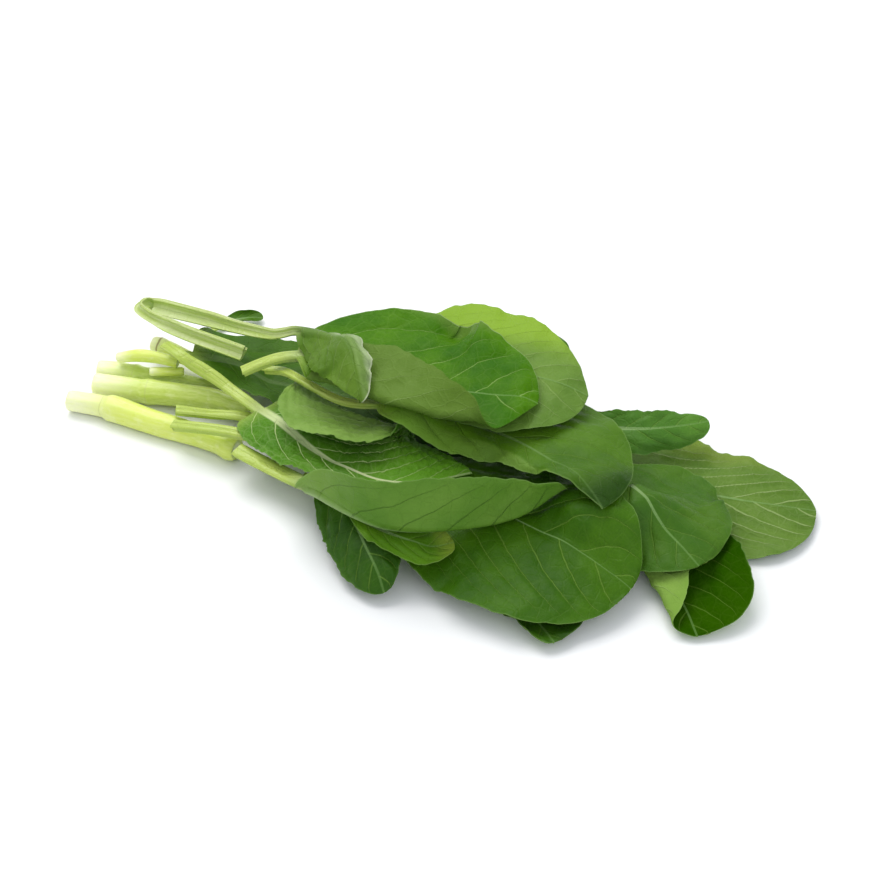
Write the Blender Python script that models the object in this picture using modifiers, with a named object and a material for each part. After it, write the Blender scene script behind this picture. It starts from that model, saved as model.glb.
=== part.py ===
"""A bunch of choy sum lying on a table: cut stems at -X, leaf tips at +X, resting on z = 0.

Lengths are millimetres. Every leaf is one smooth sheet drawn along the line of its stalk and
midrib; the leaves are laid one after another, and each settles on top of those below it.
"""
import math

import bmesh
import bpy
import numpy as np

MM = 0.001

# Driving sizes
BLADE_THICKNESS = 0.9     # leaf blade; a real one is about 0.4 mm
LEAF_GAP = 1.0            # air left between a leaf and whatever it lies on
SHOULDER = 0.3            # how far a bare stalk's edges round off, as a share of its thickness
RIB_TIP = 0.9             # half width of the midrib where it runs out
CENTRE = (-5.4, -19.4)    # middle of the bunch on the table, moved onto the origin
CELL = 1.25               # spacing of the height map that leaves settle on
DRAPE_STEPS = 40          # how softly a leaf comes down again beside what holds it up
MAP_LOW, MAP_HIGH = (-215.0, -165.0), (215.0, 125.0)

# Where the columns of a leaf sheet run: up to RIB_COLUMN they follow the midrib, past it the blade
RIB_COLUMN = 0.25
PLAIN_COLUMNS = (0.0, 0.13, 0.25, 0.5, 0.75, 1.0)
FOLDED_COLUMNS = (0.0, 0.13, 0.25, 0.42, 0.55, 0.68, 0.82, 1.0)


# Smooth curves

def smoothstep(x):
    x = np.clip(x, 0.0, 1.0)
    return x * x * (3 - 2 * x)


def ease(keys, at):
    """Values between (position, value, ...) keys, levelling out at each key."""
    keys = np.array(keys, float)
    at = np.clip(np.asarray(at, float), keys[0, 0], keys[-1, 0])
    after = np.clip(np.searchsorted(keys[:, 0], at, side="right"), 1, len(keys) - 1)
    start, end = keys[after - 1], keys[after]
    part = smoothstep((at - start[..., 0]) / np.maximum(end[..., 0] - start[..., 0], 1e-9))
    return start[..., 1:] + (end - start)[..., 1:] * part[..., None]


def smooth_path(points, count=400):
    """The points joined by a smooth curve, sampled densely, and the distance along it."""
    points = np.array(points, float)
    knots = np.append(0, np.cumsum(np.linalg.norm(np.diff(points, axis=0), axis=1) ** 0.5))
    slopes = np.gradient(points, knots, axis=0)
    at = np.linspace(0, knots[-1], count)
    after = np.clip(np.searchsorted(knots, at, side="right"), 1, len(knots) - 1)
    step = (knots[after] - knots[after - 1])[:, None]
    x = (at - knots[after - 1])[:, None] / step
    line = ((2 * x**3 - 3 * x**2 + 1) * points[after - 1] + (x**3 - 2 * x**2 + x) * step * slopes[after - 1]
            + (3 * x**2 - 2 * x**3) * points[after] + (x**3 - x**2) * step * slopes[after])
    along = np.append(0, np.cumsum(np.linalg.norm(np.diff(line, axis=0), axis=1)))
    return line, along


def unit(vectors):
    return vectors / np.linalg.norm(vectors, axis=-1, keepdims=True)


# Leaves

def leaf(path, blade, half, ends=((0.7, 0.45), (0.7, 0.45)), roll=((0, 0), (1, 0)), right=((0, 0, 0),),
         left=((0, 0, 0),),
         bend=((10, 32), (10, 32)), swing=0, stalk=(5.0, 6.0), channel=0.6, taper=((0, 1), (1, 1)),
         ripple=(1.5, 2.0, 0.0), rows=(4, 11), columns=PLAIN_COLUMNS, reach=4):
    """One leaf, seen from its upper face, stalk first.

    path: line of the stalk and midrib.  blade: length of the blade, measured back from the tip.
    half: widest half widths (right, left).  ends: how pointed each half is (base, tip).
    roll: (share of the path, degrees towards the right side).
    right, left: (share of the blade, lift, fold): the half leaves the midrib at `lift` degrees and
    folds up by a further `fold` degrees between the distances from the midrib given in bend.
    swing: how much further out that fold lies at the tip than at the base.
    stalk: (half width, thickness), scaled along the path by taper: (share of the path, scale).
    channel: depth of the groove along the stalk's upper face, negative where the face is domed.
    ripple: (height, waves, phase) of the margin.
    reach: cells over which the leaf spreads its rise where it lies on others.
    """
    return dict(path=path, blade=blade, half=half, ends=ends, roll=roll, right=right, left=left,
                bend=bend, swing=swing, stalk=stalk, channel=channel, taper=taper, ripple=ripple,
                rows=rows, columns=columns, reach=reach)


def along_leaf(spec, rows):
    """Distances of the sheet's rows along the path, and each row's share of the blade."""
    length = smooth_path(spec["path"])[1][-1]
    start = max(length - spec["blade"], 0.0)
    stalk_rows, blade_rows = rows
    share = np.linspace(0, 1, blade_rows)
    blade = start + (length - start) * (1 - (1 - share) ** 1.7)
    stalk = np.linspace(0, start, stalk_rows + 1)[:-1] if start > 1 else []
    at = np.concatenate([stalk, blade])
    return at, (at - start) / (length - start)


def half_widths(spec, share, path_share):
    """Half width of the midrib and of each half of the leaf at these shares of the blade."""
    inside = np.clip(share, 1e-4, 1 - 1e-4)
    widest_rib = spec["stalk"][0] * ease(spec["taper"], path_share)[:, 0]
    rib = RIB_TIP + (widest_rib - RIB_TIP) * (1 - smoothstep(share * 0.9 + 0.02)) ** 1.3
    rib = np.where(share <= 0, widest_rib, np.minimum(rib, widest_rib))
    halves = []
    for half, (base, tip) in zip(spec["half"], spec["ends"]):
        widest = base / (base + tip)
        outline = (inside / widest) ** base * ((1 - inside) / (1 - widest)) ** tip
        halves.append(np.maximum(rib * 1.02, np.where(share <= 0, 0, outline) * half))
    return rib, halves


def half_section(spec, side, share, rib, half, fractions):
    """Distances out from the midrib and up, and the lie of the surface, across one half."""
    lift, fold = np.radians(ease(spec[side], share)).T if len(spec[side]) > 1 else \
        np.radians(np.array(spec[side][0][1:], float))[:, None] * np.ones(len(share))
    first, last = (edge + spec["swing"] * share[:, None] for edge in spec["bend"][side == "left"])
    fine = np.linspace(0, 1, 61)
    free = smoothstep((half - rib) / 8)[:, None]
    out = fine * half[:, None]
    angle = free * (lift[:, None] * smoothstep(out / (rib[:, None] + 3)) +
                    fold[:, None] * smoothstep((out - first) / (last - first)))
    step = half[:, None] / 60
    across = np.concatenate([np.zeros((len(half), 1)), np.cumsum(
        (np.cos(angle[:, 1:]) + np.cos(angle[:, :-1])) / 2 * step, axis=1)], axis=1)
    upward = np.concatenate([np.zeros((len(half), 1)), np.cumsum(
        (np.sin(angle[:, 1:]) + np.sin(angle[:, :-1])) / 2 * step, axis=1)], axis=1)
    core = 0.8 * rib[:, None]
    distance = np.where(fractions <= RIB_COLUMN, fractions / RIB_COLUMN * core,
                        core + (fractions - RIB_COLUMN) / (1 - RIB_COLUMN) * (half[:, None] - core))
    rank = distance / half[:, None]
    pick = lambda table: np.stack([np.interp(r, fine, row) for r, row in zip(rank, table)])
    return pick(across), pick(upward), pick(angle), distance, rank


def leaf_sheet(spec, rows=None, fractions=None):
    """The upper surface as a grid of points with the thickness below each, left margin to right."""
    rows = rows or spec["rows"]
    fractions = np.array(fractions if fractions is not None else spec["columns"])
    line, along = smooth_path(spec["path"])
    at, share = along_leaf(spec, rows)
    centre = np.stack([np.interp(at, along, line[:, k]) for k in range(3)], axis=1)
    tangent = unit(np.stack([np.interp(at, along, g) for g in np.gradient(line, along, axis=0).T], axis=1))
    up = unit(np.array([0, 0, 1.0]) - tangent * tangent[:, 2:])
    side = np.cross(tangent, up)
    roll = np.radians(ease(spec["roll"], at / along[-1]))
    up, side = up * np.cos(roll) + side * np.sin(roll), side * np.cos(roll) - up * np.sin(roll)
    rib, halves = half_widths(spec, share, at / along[-1])
    height, waves, phase = spec["ripple"]
    parts = []
    for name, sign, half in (("right", 1, halves[0]), ("left", -1, halves[1])):
        x, y, angle, distance, rank = half_section(spec, name, share, rib, half, fractions)
        normal = -sign * np.sin(angle)[..., None] * side[:, None] + np.cos(angle)[..., None] * up[:, None]
        points = centre[:, None] + sign * x[..., None] * side[:, None] + y[..., None] * up[:, None]
        free = smoothstep((half - rib) / 10)[:, None] * np.sin(np.pi * np.clip(share, 0, 1))[:, None] ** 0.5
        wave = height * free * rank ** 2.5 * np.sin(2 * np.pi * waves * share[:, None] + phase + sign)
        inside = np.clip(distance / rib[:, None], 0, 1)
        groove = -spec["channel"] * (1 - inside**2) * smoothstep(rib / 3)[:, None]
        tall = spec["stalk"][1] * (rib[:, None] / spec["stalk"][0])
        round_off = SHOULDER * tall * (1 - smoothstep((half - rib) / 4))[:, None] * inside**4
        points = points + (wave + groove - round_off)[..., None] * normal
        thick = BLADE_THICKNESS + np.maximum((tall - BLADE_THICKNESS) * np.sqrt(1 - inside**2) - round_off, 0)
        parts.append((points, thick))
    (right, right_thick), (left, left_thick) = parts
    points = np.concatenate([left[:, :0:-1], right], axis=1)
    thickness = np.concatenate([left_thick[:, :0:-1], right_thick], axis=1)
    return points, thickness


def underside(points, thickness):
    """The lower surface of a sheet."""
    normal = np.cross(np.gradient(points, axis=1), np.gradient(points, axis=0))
    return points - unit(normal) * thickness[..., None]


# Settling on the pile

def refined(grid, factor):
    """A grid of points filled in between its rows and columns."""
    rows = np.linspace(0, grid.shape[0] - 1, (grid.shape[0] - 1) * factor[0] + 1)
    low = np.minimum(rows.astype(int), grid.shape[0] - 2)
    part = (rows - low)[:, None, None]
    grid = grid[low] * (1 - part) + grid[low + 1] * part
    columns = np.linspace(0, grid.shape[1] - 1, (grid.shape[1] - 1) * factor[1] + 1)
    low = np.minimum(columns.astype(int), grid.shape[1] - 2)
    part = (columns - low)[None, :, None]
    return grid[:, low] * (1 - part) + grid[:, low + 1] * part


def spread(field, steps, mix):
    """The 3 x 3 maximum, minimum or average of a map, taken again and again."""
    for _ in range(steps):
        edge = np.pad(field, 1, mode="edge")
        shifted = [edge[i:i + field.shape[0], j:j + field.shape[1]] for i in range(3) for j in range(3)]
        field = mix(shifted, axis=0)
    return field


class Pile:
    """Heights of everything laid so far, on a square map of the table."""

    def __init__(self):
        size = [int((high - low) / CELL) + 1 for low, high in zip(MAP_LOW, MAP_HIGH)]
        self.top = np.zeros(size)

    def cells(self, points):
        return tuple(np.clip(((points[:, k] - MAP_LOW[k]) / CELL).round().astype(int), 0,
                             self.top.shape[k] - 1)
                     for k in range(2))

    def settle(self, samples, reach, gap=LEAF_GAP):
        """How far the piece must rise over each cell so that it clears the pile."""
        low = np.full(self.top.shape, np.inf)
        np.minimum.at(low, self.cells(samples), samples[:, 2])
        under = spread(self.top, 1, np.max)
        need = np.where(np.isfinite(low), under + np.where(under > 0.01, gap, 0) - low, 0)
        need = spread(np.maximum(need, 0), reach, np.max)
        rise = need
        for _ in range(DRAPE_STEPS):
            rise = np.maximum(need, spread(rise, 1, np.mean))
        return spread(rise, 3, np.mean)

    def rise_at(self, rise, points):
        spot = [(points[..., k] - MAP_LOW[k]) / CELL for k in range(2)]
        low = [np.clip(s.astype(int), 0, n - 2) for s, n in zip(spot, rise.shape)]
        part = [s - l for s, l in zip(spot, low)]
        return sum(rise[low[0] + i,
                        low[1] + j] * (part[0] if i else 1 - part[0]) * (part[1] if j else 1 - part[1])
                   for i in range(2) for j in range(2))

    def add(self, samples):
        np.maximum.at(self.top, self.cells(samples), samples[:, 2])


def sheet_samples(points, thickness):
    """Points spread over both faces of a sheet, closer together than the map's cells."""
    step = [np.linalg.norm(np.diff(points, axis=k), axis=-1).max() for k in range(2)]
    factor = [max(1, math.ceil(s / (0.8 * CELL))) for s in step]
    both = [refined(points, factor), refined(underside(points, thickness), factor)]
    return np.concatenate([grid.reshape(-1, 3) for grid in both])


# Solids

def new_object(name, mesh, material, collection):
    obj = bpy.data.objects.new(name, mesh)
    obj.data.materials.append(material)
    collection.objects.link(obj)
    return obj


def leaf_object(name, points, thickness, material, collection):
    """The sheet as a grid of triangles, thickened downwards by each point's thickness."""
    rows, columns = thickness.shape
    sheet = bmesh.new()
    bmesh.ops.create_grid(sheet, x_segments=columns - 1, y_segments=rows - 1, size=1)
    sheet.verts.ensure_lookup_table()
    order = sorted(sheet.verts, key=lambda v: (round(v.co.y, 5), round(v.co.x, 5)))
    for vertex, spot in zip(order, points.reshape(-1, 3)):
        vertex.co = [(spot[0] - CENTRE[0]) * MM, (spot[1] - CENTRE[1]) * MM, spot[2] * MM]
    place = {vertex.index: number for number, vertex in enumerate(order)}
    bmesh.ops.triangulate(sheet, faces=sheet.faces[:])
    mesh = bpy.data.meshes.new(name)
    sheet.to_mesh(mesh)
    sheet.free()
    obj = new_object(name, mesh, material, collection)
    greatest = float(thickness.max())
    group = obj.vertex_groups.new(name="thickness")
    flat = thickness.reshape(-1)
    for index, number in place.items():
        group.add([index], float(flat[number]) / greatest, "REPLACE")
    solid = obj.modifiers.new("blade and rib", "SOLIDIFY")
    solid.thickness = greatest * MM
    solid.offset = -1
    solid.vertex_group = "thickness"
    solid.use_rim = True
    return obj


def stem_object(name, path, radii, material, collection, pile, sides=3, points=12):
    """A round stem along the path, its radius eased between (share, radius) keys, lying on the pile."""
    line, along = smooth_path(path)
    at = np.unique(np.concatenate([np.linspace(0, 1, points), [key[0] for key in radii]])) * along[-1]
    spots = np.stack([np.interp(at, along, line[:, k]) for k in range(3)], axis=1)
    curve = bpy.data.curves.new(name, "CURVE")
    curve.dimensions = "3D"
    spline = curve.splines.new("POLY")
    spline.points.add(len(spots) - 1)
    for point, spot, radius in zip(spline.points, spots, ease(radii, at / along[-1])[:, 0]):
        point.co = (*(spot * MM), 1)
        point.radius = radius
    curve.bevel_depth = MM
    curve.bevel_resolution = sides
    curve.use_fill_caps = True
    guide = bpy.data.objects.new(name + "_line", curve)
    collection.objects.link(guide)
    bpy.context.view_layer.update()
    mesh = bpy.data.meshes.new_from_object(guide.evaluated_get(bpy.context.evaluated_depsgraph_get()))
    bpy.data.objects.remove(guide)
    solid = bmesh.new()
    solid.from_mesh(mesh)
    bmesh.ops.remove_doubles(solid, verts=solid.verts, dist=1e-6)
    bmesh.ops.triangulate(solid, faces=solid.faces[:])
    bmesh.ops.recalc_face_normals(solid, faces=solid.faces[:])
    faces = np.array([[v.co[:] for v in face.verts] for face in solid.faces]) / MM
    mix = np.array([(a, b, 12 - a - b) for a in range(13) for b in range(13 - a)]) / 12
    samples = np.einsum("mk,fkx->fmx", mix, faces).reshape(-1, 3)
    for vertex in solid.verts:
        spot = np.array(vertex.co) / MM
        vertex.co = [(spot[0] - CENTRE[0]) * MM, (spot[1] - CENTRE[1]) * MM, max(spot[2], 0.0) * MM]
    pile.add(samples)
    solid.to_mesh(mesh)
    solid.free()
    mesh.materials.clear()
    mesh.name = name
    return new_object(name, mesh, material, collection)


# Materials

def plant_material(name, colour, roughness):
    material = bpy.data.materials.new(name)
    material.use_nodes = True
    surface = material.node_tree.nodes["Principled BSDF"]
    surface.inputs["Base Color"].default_value = (*colour, 1)
    surface.inputs["Roughness"].default_value = roughness
    return material


# The bunch, in the order in which its pieces are laid on the table

STEMS = {
    "stem_front": (((-178.4, 25.7, 5.2), (-164.1, 21.8, 5.3), (-155.6, 18.2, 5.8), (-138.2, 9.5, 5.6),
         (-113.7, -1.8, 5.8), (-95.7, -12.1, 6.2)),
                   ((0, 5.0), (0.16, 5.2), (0.2, 5.3), (0.24, 6.4), (0.5, 5.9), (0.88, 5.2), (0.96, 6.2),
                    (1, 5.4))),
    "stem_middle": (((-167.3, 37.5, 5.6), (-156, 34.9, 5.8), (-142.6, 31.3, 6.2), (-125.4, 27, 7.5),
         (-109.8, 23, 8), (-90.7, 14, 8)),
                    ((0, 5.4), (0.28, 5.7), (0.34, 6.3), (0.42, 5.8), (0.7, 5.4), (1, 4.6))),
    "stem_back": (((-166.9, 49.9, 5), (-156.5, 47.9, 5), (-146.4, 44.5, 5.2), (-126.6, 39.3, 5.4),
         (-105.5, 33.9, 5.4)),
                  ((0, 4.6), (0.24, 4.8), (0.3, 5.4), (0.36, 4.7), (1, 3.4))),
    "stem_far": (((-141.5, 64.5, 9), (-136.6, 62.2, 9), (-125.4, 55.5, 8), (-110.3, 47, 6)),
                 ((0, 4.1), (0.12, 4.5), (0.2, 4.2), (1, 3.4))),
    "stalk_stub_low": (((-140.4, 38, 12.8), (-131.7, 38, 12.8), (-124.1, 38.3, 12.6)), ((0, 2.2), (1, 2.2))),
    "stalk_stub_high": (((-156.7, 48, 13.5), (-145.4, 44.5, 17.5), (-135.4, 41.2, 18.5), (-126.6, 38, 18)),
                        ((0, 2.6), (0.4, 3.1), (1, 2.6))),
    "stalk_stub_end": (((-117.5, 41.7, 14.5), (-105.9, 39.4, 14.5)), ((0, 2.2), (1, 2.2))),
}

LEAVES = {
    "leaf_front_tip": leaf(
        ((-17.3, -45, 3), (2.2, -68.7, 3), (19.8, -92.1, 3), (34.2, -112.2, 3), (42.2, -125.8, 3),
         (47, -137.2, 5)), 84, (12, 27), rows=(2, 8), stalk=(3, 3.5),
        right=((0, 0, 0), (0.5, 5, 10), (1, 20, 60)), left=((0, 0, 0), (0.5, 0, 0), (1, 10, 10)),
        bend=((4, 10), (8, 20))),
    "leaf_back_low": leaf(
        ((-105.8, 51, 6), (-79, 49.7, 7), (-45.2, 53.7, 8), (-6.4, 59.7, 8), (33, 65.5, 6),
         (62.4, 67.5, 3)), 118, (34, 26), rows=(3, 9), stalk=(3, 4),
        right=((0, 5, 0), (1, 5, 0)), left=((0, 0, 0), (1, -4, 0))),
    "leaf_shaded": leaf(
        ((-125, 36.6, 9), (-113.2, 36.6, 9), (-92.5, 36.9, 8), (-64.2, 31.3, 8), (-34.3, 20.9, 8),
         (-10.9, 13.2, 8)), 112, (22, 30), ends=((0.7, 0.45), (0.22, 0.6)), rows=(5, 10), stalk=(3.0, 3.5),
        right=((0, 5, 0), (1, 5, 0)), left=((0, 5, 0), (0.4, 6, 10), (1, 0, 0))),
    "leaf_rolled_small": leaf(
        ((-114.9, 85.4, 3), (-106.3, 91.2, 3), (-98.9, 93.7, 3), (-93.6, 94.3, 3), (-90, 93.6, 3)), 23,
        (4.5, 5), rows=(2, 8), stalk=(1.8, 2.0),
        right=((0, 20, 60), (0.5, 40, 110), (1, 30, 100)), left=((0, 20, 60), (0.5, 40, 120), (1, 30, 110)),
        bend=((1.5, 5), (1.5, 5))),
    "leaf_right_end": leaf(
        ((27.2, 24.5, 3), (52.7, 4.5, 3), (83.4, -24.6, 4), (108.5, -39.2, 5), (134.7, -46.8, 5),
         (157, -50.5, 4), (168.7, -52.1, 3)), 116, (38, 38), ends=((0.45, 0.6), (0.7, 0.42)),
         stalk=(3.5, 4), rows=(2, 12),
        roll=((0, 180), (1, 180)), right=((0, 0, 0), (0.6, 4, 0), (1, 0, 0)), left=((0, 4, 0), (1, 2, 0))),
    "leaf_cone": leaf(
        ((36.1, -2.3, 3), (56.3, -22.9, 3), (70.6, -44.6, 3), (86.5, -71.9, 3), (97.7, -94.5, 3),
         (104.7, -114.6, 3), (108.3, -131.5, 3)), 104, (32, 36), ends=((0.6, 0.7), (0.7, 0.4)),
         stalk=(3, 3.2), rows=(2, 12),
        right=((0, 0, 0), (0.2, 0, 60), (0.45, 5, 160), (0.85, 8, 162), (1, 10, 150)),
        left=((0, 5, 0), (1, 10, 20)),
        bend=((6, 14), (12, 28)), columns=FOLDED_COLUMNS),
    "leaf_middle_low": leaf(
        ((-124.8, 5.9, 4), (-109.2, 6.8, 4), (-93, 5.6, 5), (-71.7, -0.6, 7), (-52.2, -7.6, 9),
         (-20, -17.6, 10), (12.6, -26.9, 12), (39.7, -33, 12), (62.4, -36.4, 8)), 104, (28, 28),
         rows=(5, 8), stalk=(3, 4)),
    "leaf_right_middle": leaf(
        ((64.4, -38.8, 4), (78.1, -57.1, 6), (93.1, -78.3, 9), (102.8, -88.9, 9), (111, -99.5, 6)), 82,
        (24, 46), ends=((0.5, 0.5), (0.45, 0.5)), stalk=(2.2, 2.4), rows=(2, 12),
        right=((0, 0, 0), (0.5, -6, -6), (1, -6, -6)),
        left=((0, 0, 0), (0.35, -2, 0), (0.6, -4, -40), (1, -6, -45)),
        bend=((10, 24), (28, 40))),
    "leaf_right_rolled": leaf(
        ((17.6, 20.2, 6), (50, 3.6, 10), (75.2, -7.9, 16), (93.1, -12.3, 19), (109.9, -10.1, 19),
         (123.4, -4.4, 17)), 84, (12, 9), stalk=(3, 4), rows=(3, 9),
        roll=((0, 0), (0.6, 20), (1, 20)), right=((0, -10, 0), (0.6, -15, -30), (1, -20, -20)),
        left=((0, 10, 0), (0.4, 30, 20), (0.7, 0, 0), (1, -10, -10)), bend=((5, 10), (4, 10))),
    "leaf_front_wide": leaf(
        ((-125.9, -3.5, 16), (-112.3, -8.4, 18.5), (-100.6, -11.4, 19), (-87.4, -15.6, 19),
         (-60.9, -25.3, 18), (-33.2, -36.7, 17), (-1.8, -51.7, 18), (24.7, -67.8, 18),
         (42.2, -81.1, 17), (52.8, -89.5, 16), (66.2, -99.7, 14), (81, -111.2, 9)), 137, (50.5, 33),
         ends=((0.5, 0.4), (0.7, 0.45)), rows=(5, 12),
        right=((0, -6, 0), (0.4, -10, 0), (1, -4, 0)), left=((0, 0, 0), (0.5, -2, -8), (1, -4, -4)),
        ripple=(1.5, 2.5, 2.5), stalk=(3.0, 4.6), reach=5),
    "leaf_front_dark": leaf(
        ((-63.7, -36.2, 12), (-57.7, -40.9, 10), (-48.1, -54.2, 8), (-40.2, -70.5, 7),
         (-33.7, -88.4, 6), (-25.5, -108.3, 3)), 74, (14, 14), ends=((0.6, 0.5), (0.7, 0.4)), rows=(2, 9),
         stalk=(2.2, 2.4), reach=6,
        right=((0, -6, 0), (0.6, -6, 0), (1, 0, 60)), left=((0, 4, 10), (1, 0, 0)), bend=((6, 14), (6, 14))),
    "leaf_front_curled": leaf(
        ((-52.5, -52.8, 11), (-43.4, -67.9, 11), (-30.6, -80.1, 11), (-18, -87.8, 11),
         (-5.8, -89.4, 11), (4.8, -86.8, 12)), 58, (13, 15), ends=((1.3, 0.5), (0.7, 0.45)),
         stalk=(2.2, 2.4), rows=(2, 9),
        right=((0, 0, 0), (0.6, 6, 20), (1, 20, 40)), left=((0, 0, 0), (0.6, 6, 20), (1, 20, 50)),
        bend=((4, 13), (4, 13))),
    "leaf_cigar": leaf(
        ((-94.2, -23.7, 17.8), (-88.1, -27.7, 17), (-80.3, -32.5, 16), (-70.7, -40.3, 16.5),
         (-60.7, -51.6, 19), (-46.4, -68.8, 22), (-31.6, -81, 24), (-14.2, -86.3, 24),
         (5, -83.9, 22), (23.9, -77.6, 20), (40.8, -71.6, 22), (54.5, -66.6, 28)), 140, (28, 9),
         ends=((0.7, 0.5), (0.6, 0.5)), rows=(3, 12), stalk=(4.3, 5.2),
        right=((0, 20, 0), (0.18, 98, 0), (0.8, 102, 0), (1, 80, 0)), left=((0, 10, 0), (1, 10, 0))),
    "leaf_pale_rib": leaf(
        ((-132.2, 40.3, 14), (-124, 30.2, 15), (-114.4, 25.6, 16), (-104.5, 20.1, 17),
         (-95.4, 12.8, 18), (-86.6, 2.9, 19), (-72.9, -14.8, 20), (-59.9, -29.6, 18),
         (-45.9, -41.5, 15), (-28.4, -49.9, 11), (-8.4, -50.8, 9), (13, -44.7, 9)), 121, (18, 67),
         ends=((0.22, 1.5), (0.5, 0.75)), stalk=(3.1, 4.6), rows=(6, 12),
        right=((0, -10, 0), (0.3, -10, -10), (1, -10, 0)),
        left=((0, 10, 150), (0.1, 8, 165), (0.62, 8, 165), (0.77, 4, 0), (1, 0, 0)),
        bend=((8, 20), (17, 27)), swing=26, columns=FOLDED_COLUMNS),
    "leaf_drooping": leaf(
        ((-84.1, 22.9, 28), (-74.5, 13, 31), (-62.8, 1.5, 34), (-51.2, -7, 35), (-38.6, -11.6, 34),
         (-13, -15.5, 32), (11.2, -22.9, 31), (31.7, -36.6, 33), (50.7, -56.6, 34.5),
         (63.1, -74.1, 33), (69.3, -84.7, 29)), 130, (19, 47), ends=((0.4, 1.0), (0.6, 0.6)), rows=(4, 13),
         stalk=(2.2, 3.6),
        right=((0, -4, 0), (0.35, -5, -8), (0.5, -3, -34), (0.8, -3, -34), (1, -8, 0)),
        left=((0, 0, 0), (0.6, 0, -12), (1, -6, -10)), bend=((7, 12), (10, 32))),
    "leaf_top_bright": leaf(
        ((-51.1, 31.6, 26), (-22.4, 15.3, 34), (5.7, 5.3, 41), (33, -3, 44), (53.3, -8.3, 42),
         (66.1, -11.4, 37)), 116, (50, 37), ends=((0.5, 0.7), (0.7, 0.45)), stalk=(3, 4),
        roll=((0, 180), (1, 180)), right=((0, 0, 0), (1, 0, 0)), left=((0, 0, 0), (1, 6, 6)), rows=(2, 12)),
    "leaf_folded": leaf(
        ((-93.8, 11.7, 35), (-81.4, 14.9, 36), (-68.4, 16.1, 38), (-50.7, 13.9, 40),
         (-34.2, 5.7, 42), (-16.8, -7.1, 44), (1.6, -17, 46), (18.8, -21.5, 47), (33.7, -24.1, 46),
         (42.7, -25.5, 42)), 122, (50, 46), ends=((0.7, 0.9), (0.6, 0.5)), rows=(3, 13), stalk=(3.0, 5),
        right=((0, 0, 165), (0.5, -5, 168), (0.75, -5, 150), (0.92, 0, 0), (1, 0, 0)),
        left=((0, 10, 0), (0.5, 6, 5), (1, 5, 0)), bend=((17, 26), (15, 35)), columns=FOLDED_COLUMNS,
        channel=0.2),
    "leaf_crumpled": leaf(
        ((-94.8, 33.3, 25), (-105.9, 37.3, 27), (-120.6, 43.9, 28.5), (-131.6, 50.1, 29.5),
         (-138.3, 55.6, 29.5), (-143.1, 60.7, 29), (-146, 66.7, 27.5), (-144.4, 71.3, 26),
         (-140.1, 71.3, 25), (-133, 68, 25), (-117.3, 60.6, 26), (-97.1, 48.6, 29),
         (-77.4, 35.6, 34), (-63.1, 24.3, 40), (-53.4, 15, 46), (-46.9, 6.1, 51), (-42.5, -4.1, 54),
         (-40.1, -13.9, 54), (-38.5, -21.1, 50), (-36.8, -27.7, 45)), 72, (10, 20),
         ends=((0.6, 0.5), (0.95, 1.1)), stalk=(5.0, 7.2), rows=(20, 10),
        roll=((0, 180), (1, 180)), channel=0.0,
        taper=((0, 0.95), (0.16, 0.92), (0.22, 0.7), (0.27, 0.7), (0.35, 1.06), (0.45, 1.0), (0.55, 0.8),
               (0.68, 0.6), (1, 0.5)),
        right=((0, 10, 0), (0.3, 15, 0), (0.55, 30, 0), (1, 40, 10)),
        left=((0, 36, 0), (0.5, 34, 0), (1, 20, 0)),
        bend=((4, 10), (10, 22))),
}


# Leaves whose pale underside shows, and the ones that lie in shade; the rest are plain green
BRIGHT = ("leaf_top_bright", "leaf_right_end", "leaf_cigar", "leaf_crumpled")
DEEP = ("leaf_front_dark", "leaf_front_tip", "leaf_back_low", "leaf_shaded", "leaf_middle_low")


def build():
    for obj in list(bpy.data.objects):
        bpy.data.objects.remove(obj, do_unlink=True)
    bunch = bpy.data.collections.new("choy_sum_bunch")
    bpy.context.scene.collection.children.link(bunch)
    stem_green = plant_material("stem_pale_green", (0.50, 0.62, 0.16), 0.38)
    leaf_green = plant_material("leaf_green", (0.075, 0.21, 0.025), 0.45)
    leaf_bright = plant_material("leaf_bright_green", (0.13, 0.29, 0.05), 0.5)
    leaf_deep = plant_material("leaf_deep_green", (0.04, 0.13, 0.018), 0.42)
    pile = Pile()
    for name, (path, radii) in STEMS.items():
        stem_object(name, path, radii, stem_green, bunch, pile)
    for name, spec in LEAVES.items():
        points, thickness = leaf_sheet(spec)
        rise = pile.settle(sheet_samples(points, thickness), spec["reach"])
        points[..., 2] += pile.rise_at(rise, points)
        pile.add(sheet_samples(points, thickness))
        material = leaf_bright if name in BRIGHT else leaf_deep if name in DEEP else leaf_green
        leaf_object(name, points, thickness, material, bunch)


build()
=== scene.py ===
"""A bunch of choy sum on a white table, seen from the front and 40 degrees above.

Every leaf is one smooth sheet drawn along the line of its stalk and midrib. The leaves are laid
one after another and settle on those below, then get their veins, puffed areas and frilled
margins. Shapes are worked out in millimetres and put into the scene in metres.
"""
import math
from types import SimpleNamespace

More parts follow.
